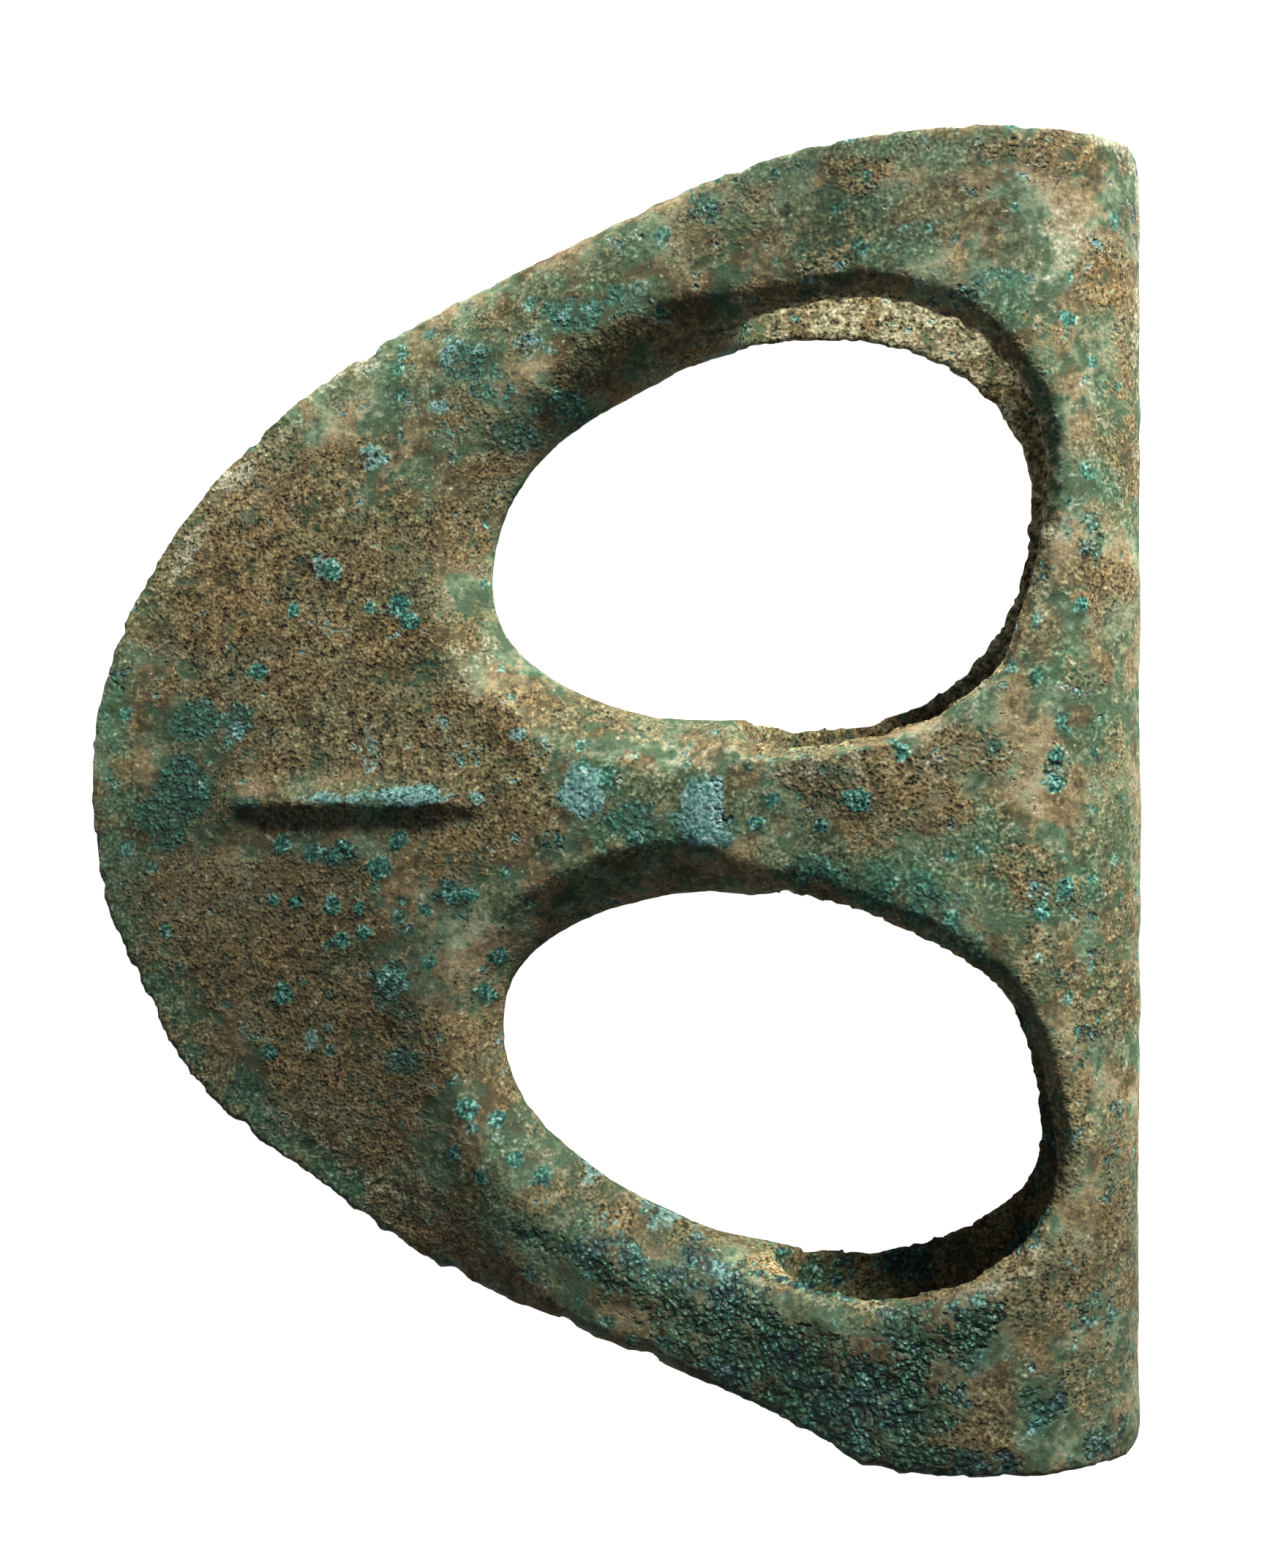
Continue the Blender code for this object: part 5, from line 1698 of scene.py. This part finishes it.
    def build(self) -> bpy.types.Material:
        """Make the material.

        Green salts and a brown film share the bare patina. Over it lie the growths, each one
        where its frayed thickness is enough, then stains, spots and light specks; scab and crust
        take painted highlights on their warts' tops and painted shade between them. Grit, painted
        shade in hollows, cracks and pores, and the stored painted light scale the brightness, and
        the same cracks, pores and warts raise the surface.

        Returns:
            The material.
        """
        material = bpy.data.materials.new(self.name)
        material.use_nodes = True
        tree = material.node_tree
        tree.nodes.clear()
        values = self.named_values(tree)
        self.work_out(tree, values, tuple(layer.cover() for layer in self.layers))
        self.work_out(tree, values, self.blends)
        values["spots"] = add_node(
            tree, "Math", {"operation": "MAXIMUM"}, {0: values["wild"], 1: values["placed"]}
        ).outputs[0]

        colour = add_node(
            tree, "ValToRGB", {}, {"Fac": values["tone"]}, self.salt_stops
        ).outputs["Color"]
        laid = [("warmth", "tone", self.film_stops)]
        for layer in self.layers:
            laid.append((layer.name + "_cover", layer.shade, layer.stops))
            if layer.name == "earth":
                laid.append(("moss", "soil_tone", self.moss_stops))
                laid.append(("rusty", "soil_tone", self.rust_stops))
            if layer.name == "crust":
                laid.append(("bluish", "warts", self.blue_stops))
        laid.append(("spots", "speckle", self.pustule_stops))
        laid.append(("specks", "speckle", self.speck_stops))
        for amount, shade, stops in laid:
            own = add_node(tree, "ValToRGB", {}, {"Fac": values[shade]}, stops).outputs["Color"]
            colour = add_node(
                tree, "Mix", {"data_type": "RGBA"}, {0: values[amount], 6: colour, 7: own}
            ).outputs[2]
        colour = add_node(
            tree, "Mix", {"data_type": "RGBA", "blend_type": "MULTIPLY"},
            {0: 1.0, 6: colour, 7: values["bright"]},
        ).outputs[2]

        rise = values["plain_rise"]
        for amount, shape in (
            ("earth_cover", "soil_rise"),
            ("teal_cover", "scab_rise"),
            ("crust_cover", "wart_rise"),
        ):
            rise = add_node(
                tree, "Math", {"operation": "MULTIPLY_ADD"},
                {0: values[shape], 1: values[amount], 2: rise},
            ).outputs[0]
        bump = add_node(
            tree, "Bump", {},
            {"Height": rise, "Distance": self.bump_height * MM, "Strength": 1.0},
        ).outputs["Normal"]
        gloss = add_node(
            tree, "MapRange", {},
            {"Value": values["crust_cover"], "To Min": self.rough, "To Max": self.wart_rough},
        ).outputs[0]
        shader = add_node(
            tree, "BsdfPrincipled", {},
            {
                "Base Color": colour, "Roughness": gloss, "Normal": bump, "IOR": 1.5,
                "Specular IOR Level": 0.35,
            },
        )
        add_node(tree, "OutputMaterial", {}, {"Surface": shader.outputs["BSDF"]})
        return material


@dataclass(frozen=True)
class AxeHead:
    """The whole casting: form, surface, weathering, finish and its tilt in degrees."""

    form: HeadForm = field(default_factory=HeadForm)
    tilt: float = 7.36

    def lie_down(self, points: np.ndarray) -> np.ndarray:
        """Tip mould-frame points until the edge dips, and set them down inside the CAD box.

        A turn about y lowers the blade by the tilt; then the box's back, middle and floor are
        met.

        Args:
            points: (n, 3) in the mould frame, in millimetres.

        Returns:
            (n, 3) places in the row's frame, in metres.
        """
        angle = math.radians(self.tilt)
        x = points[:, 0] * math.cos(angle) - points[:, 2] * math.sin(angle)
        z = points[:, 0] * math.sin(angle) + points[:, 2] * math.cos(angle)
        turned = np.column_stack([x, points[:, 1], z]) * MM
        low, high = (np.array(corner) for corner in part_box("axe_head"))
        turned[:, 0] += high[0] - turned[:, 0].max()
        turned[:, 1] += (low[1] + high[1]) / 2 - (turned[:, 1].min() + turned[:, 1].max()) / 2
        turned[:, 2] += low[2] - turned[:, 2].min()
        return turned

    def build(self) -> bpy.types.Object:
        """Make the dressed axe head and hand it to the frame.

        Returns:
            The axe head's object.
        """
        mesh = CastingMesh(self.form).build()
        LOG.info("casting surface: %d faces", len(mesh.polygons))
        Weathering(self.form, PATCHES, PUSTULES, NICKS).apply(mesh)
        put_places(mesh, self.lie_down(places(mesh)))
        mesh.shade_smooth()
        mesh.materials.clear()
        mesh.materials.append(BuriedBronze().build())
        casting = bpy.data.objects.new("axe_head_casting", mesh)
        bpy.context.scene.collection.objects.link(casting)
        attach(casting, "root")
        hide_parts("axe_head")
        return casting


@dataclass(frozen=True)
class Studio:
    """Pale table, soft daylight and the photograph's camera, in millimetres and degrees."""

    camera_height: float = 153.0
    camera_x: float = 2.99
    camera_y: float = 1.2
    lens: float = 41.96
    sensor: float = 36.0
    seen_from: float = 5.0
    seen_to: float = 20000.0
    table_size: float = 1600.0
    table_colour: str = "f4f4f2"
    table_glow: float = 1.1
    table_roughness: float = 0.95
    table_gap: float = 0.02
    sky_colour: str = "eef3ff"
    sky_strength: float = 0.14
    key_distance: float = 620.0
    key_size: float = 150.0
    key_power: float = 9.6
    key_azimuth: float = 68.0
    key_elevation: float = 28.0
    key_colour: str = "fffaf2"

    def camera(self) -> None:
        """Camera straight above the table; its long picture side lies along y."""
        data = bpy.data.cameras.new("camera")
        data.sensor_width = self.sensor
        data.lens = self.lens
        data.clip_start = self.seen_from * MM
        data.clip_end = self.seen_to * MM
        made = bpy.data.objects.new("camera", data)
        made.location = np.array([self.camera_x, self.camera_y, self.camera_height]) * MM
        bpy.context.scene.collection.objects.link(made)
        bpy.context.scene.camera = made

    def table(self) -> None:
        """A plain matt sheet just under the head, with a faint glow that lights only itself."""
        half = self.table_size / 2 * MM
        corners = np.array([[-1, -1, 0], [1, -1, 0], [1, 1, 0], [-1, 1, 0]]) * half
        corners[:, 2] = -self.table_gap * MM
        top = mesh_object("table", corners, np.array([[0, 1, 2, 3]]))
        material = bpy.data.materials.new("matt_white_paper")
        material.use_nodes = True
        shader = material.node_tree.nodes["Principled BSDF"]
        shader.inputs["Base Color"].default_value = linear(self.table_colour)
        shader.inputs["Roughness"].default_value = self.table_roughness
        shader.inputs["Emission Color"].default_value = linear(self.table_colour)
        shader.inputs["Emission Strength"].default_value = self.table_glow
        top.data.materials.append(material)
        lit_by_glow = bpy.data.collections.new("lit_by_table")
        lit_by_glow.objects.link(top)
        top.light_linking.receiver_collection = lit_by_glow

    def lights(self) -> None:
        """One soft window light from the upper right, and a plain sky."""
        data = bpy.data.lights.new("window_light", "AREA")
        data.shape = "DISK"
        data.size = self.key_size * MM
        data.energy = self.key_power
        data.color = linear(self.key_colour)[:3]
        made = bpy.data.objects.new("window_light", data)
        azimuth = math.radians(self.key_azimuth)
        elevation = math.radians(self.key_elevation)
        toward = np.array([
            math.cos(azimuth) * math.cos(elevation),
            math.sin(azimuth) * math.cos(elevation),
            math.sin(elevation),
        ])
        made.location = toward * self.key_distance * MM
        made.rotation_euler = (0.0, math.pi / 2 - elevation, azimuth)
        bpy.context.scene.collection.objects.link(made)

        world = bpy.data.worlds.new("sky")
        world.use_nodes = True
        background = world.node_tree.nodes["Background"]
        background.inputs["Color"].default_value = linear(self.sky_colour)
        background.inputs["Strength"].default_value = self.sky_strength
        bpy.context.scene.world = world

    def build(self) -> None:
        """Set up everything that isn't the axe head."""
        self.camera()
        self.table()
        self.lights()
        bpy.context.scene.view_settings.view_transform = "Standard"


def main() -> None:
    """Build the axe head and the studio."""
    logging.basicConfig(level=logging.INFO, format="%(name)s: %(message)s")
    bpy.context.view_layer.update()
    casting = AxeHead().build()
    LOG.info("%s: %d vertices", casting.name, len(casting.data.vertices))
    Studio().build()


if __name__ == "__main__":
    main()
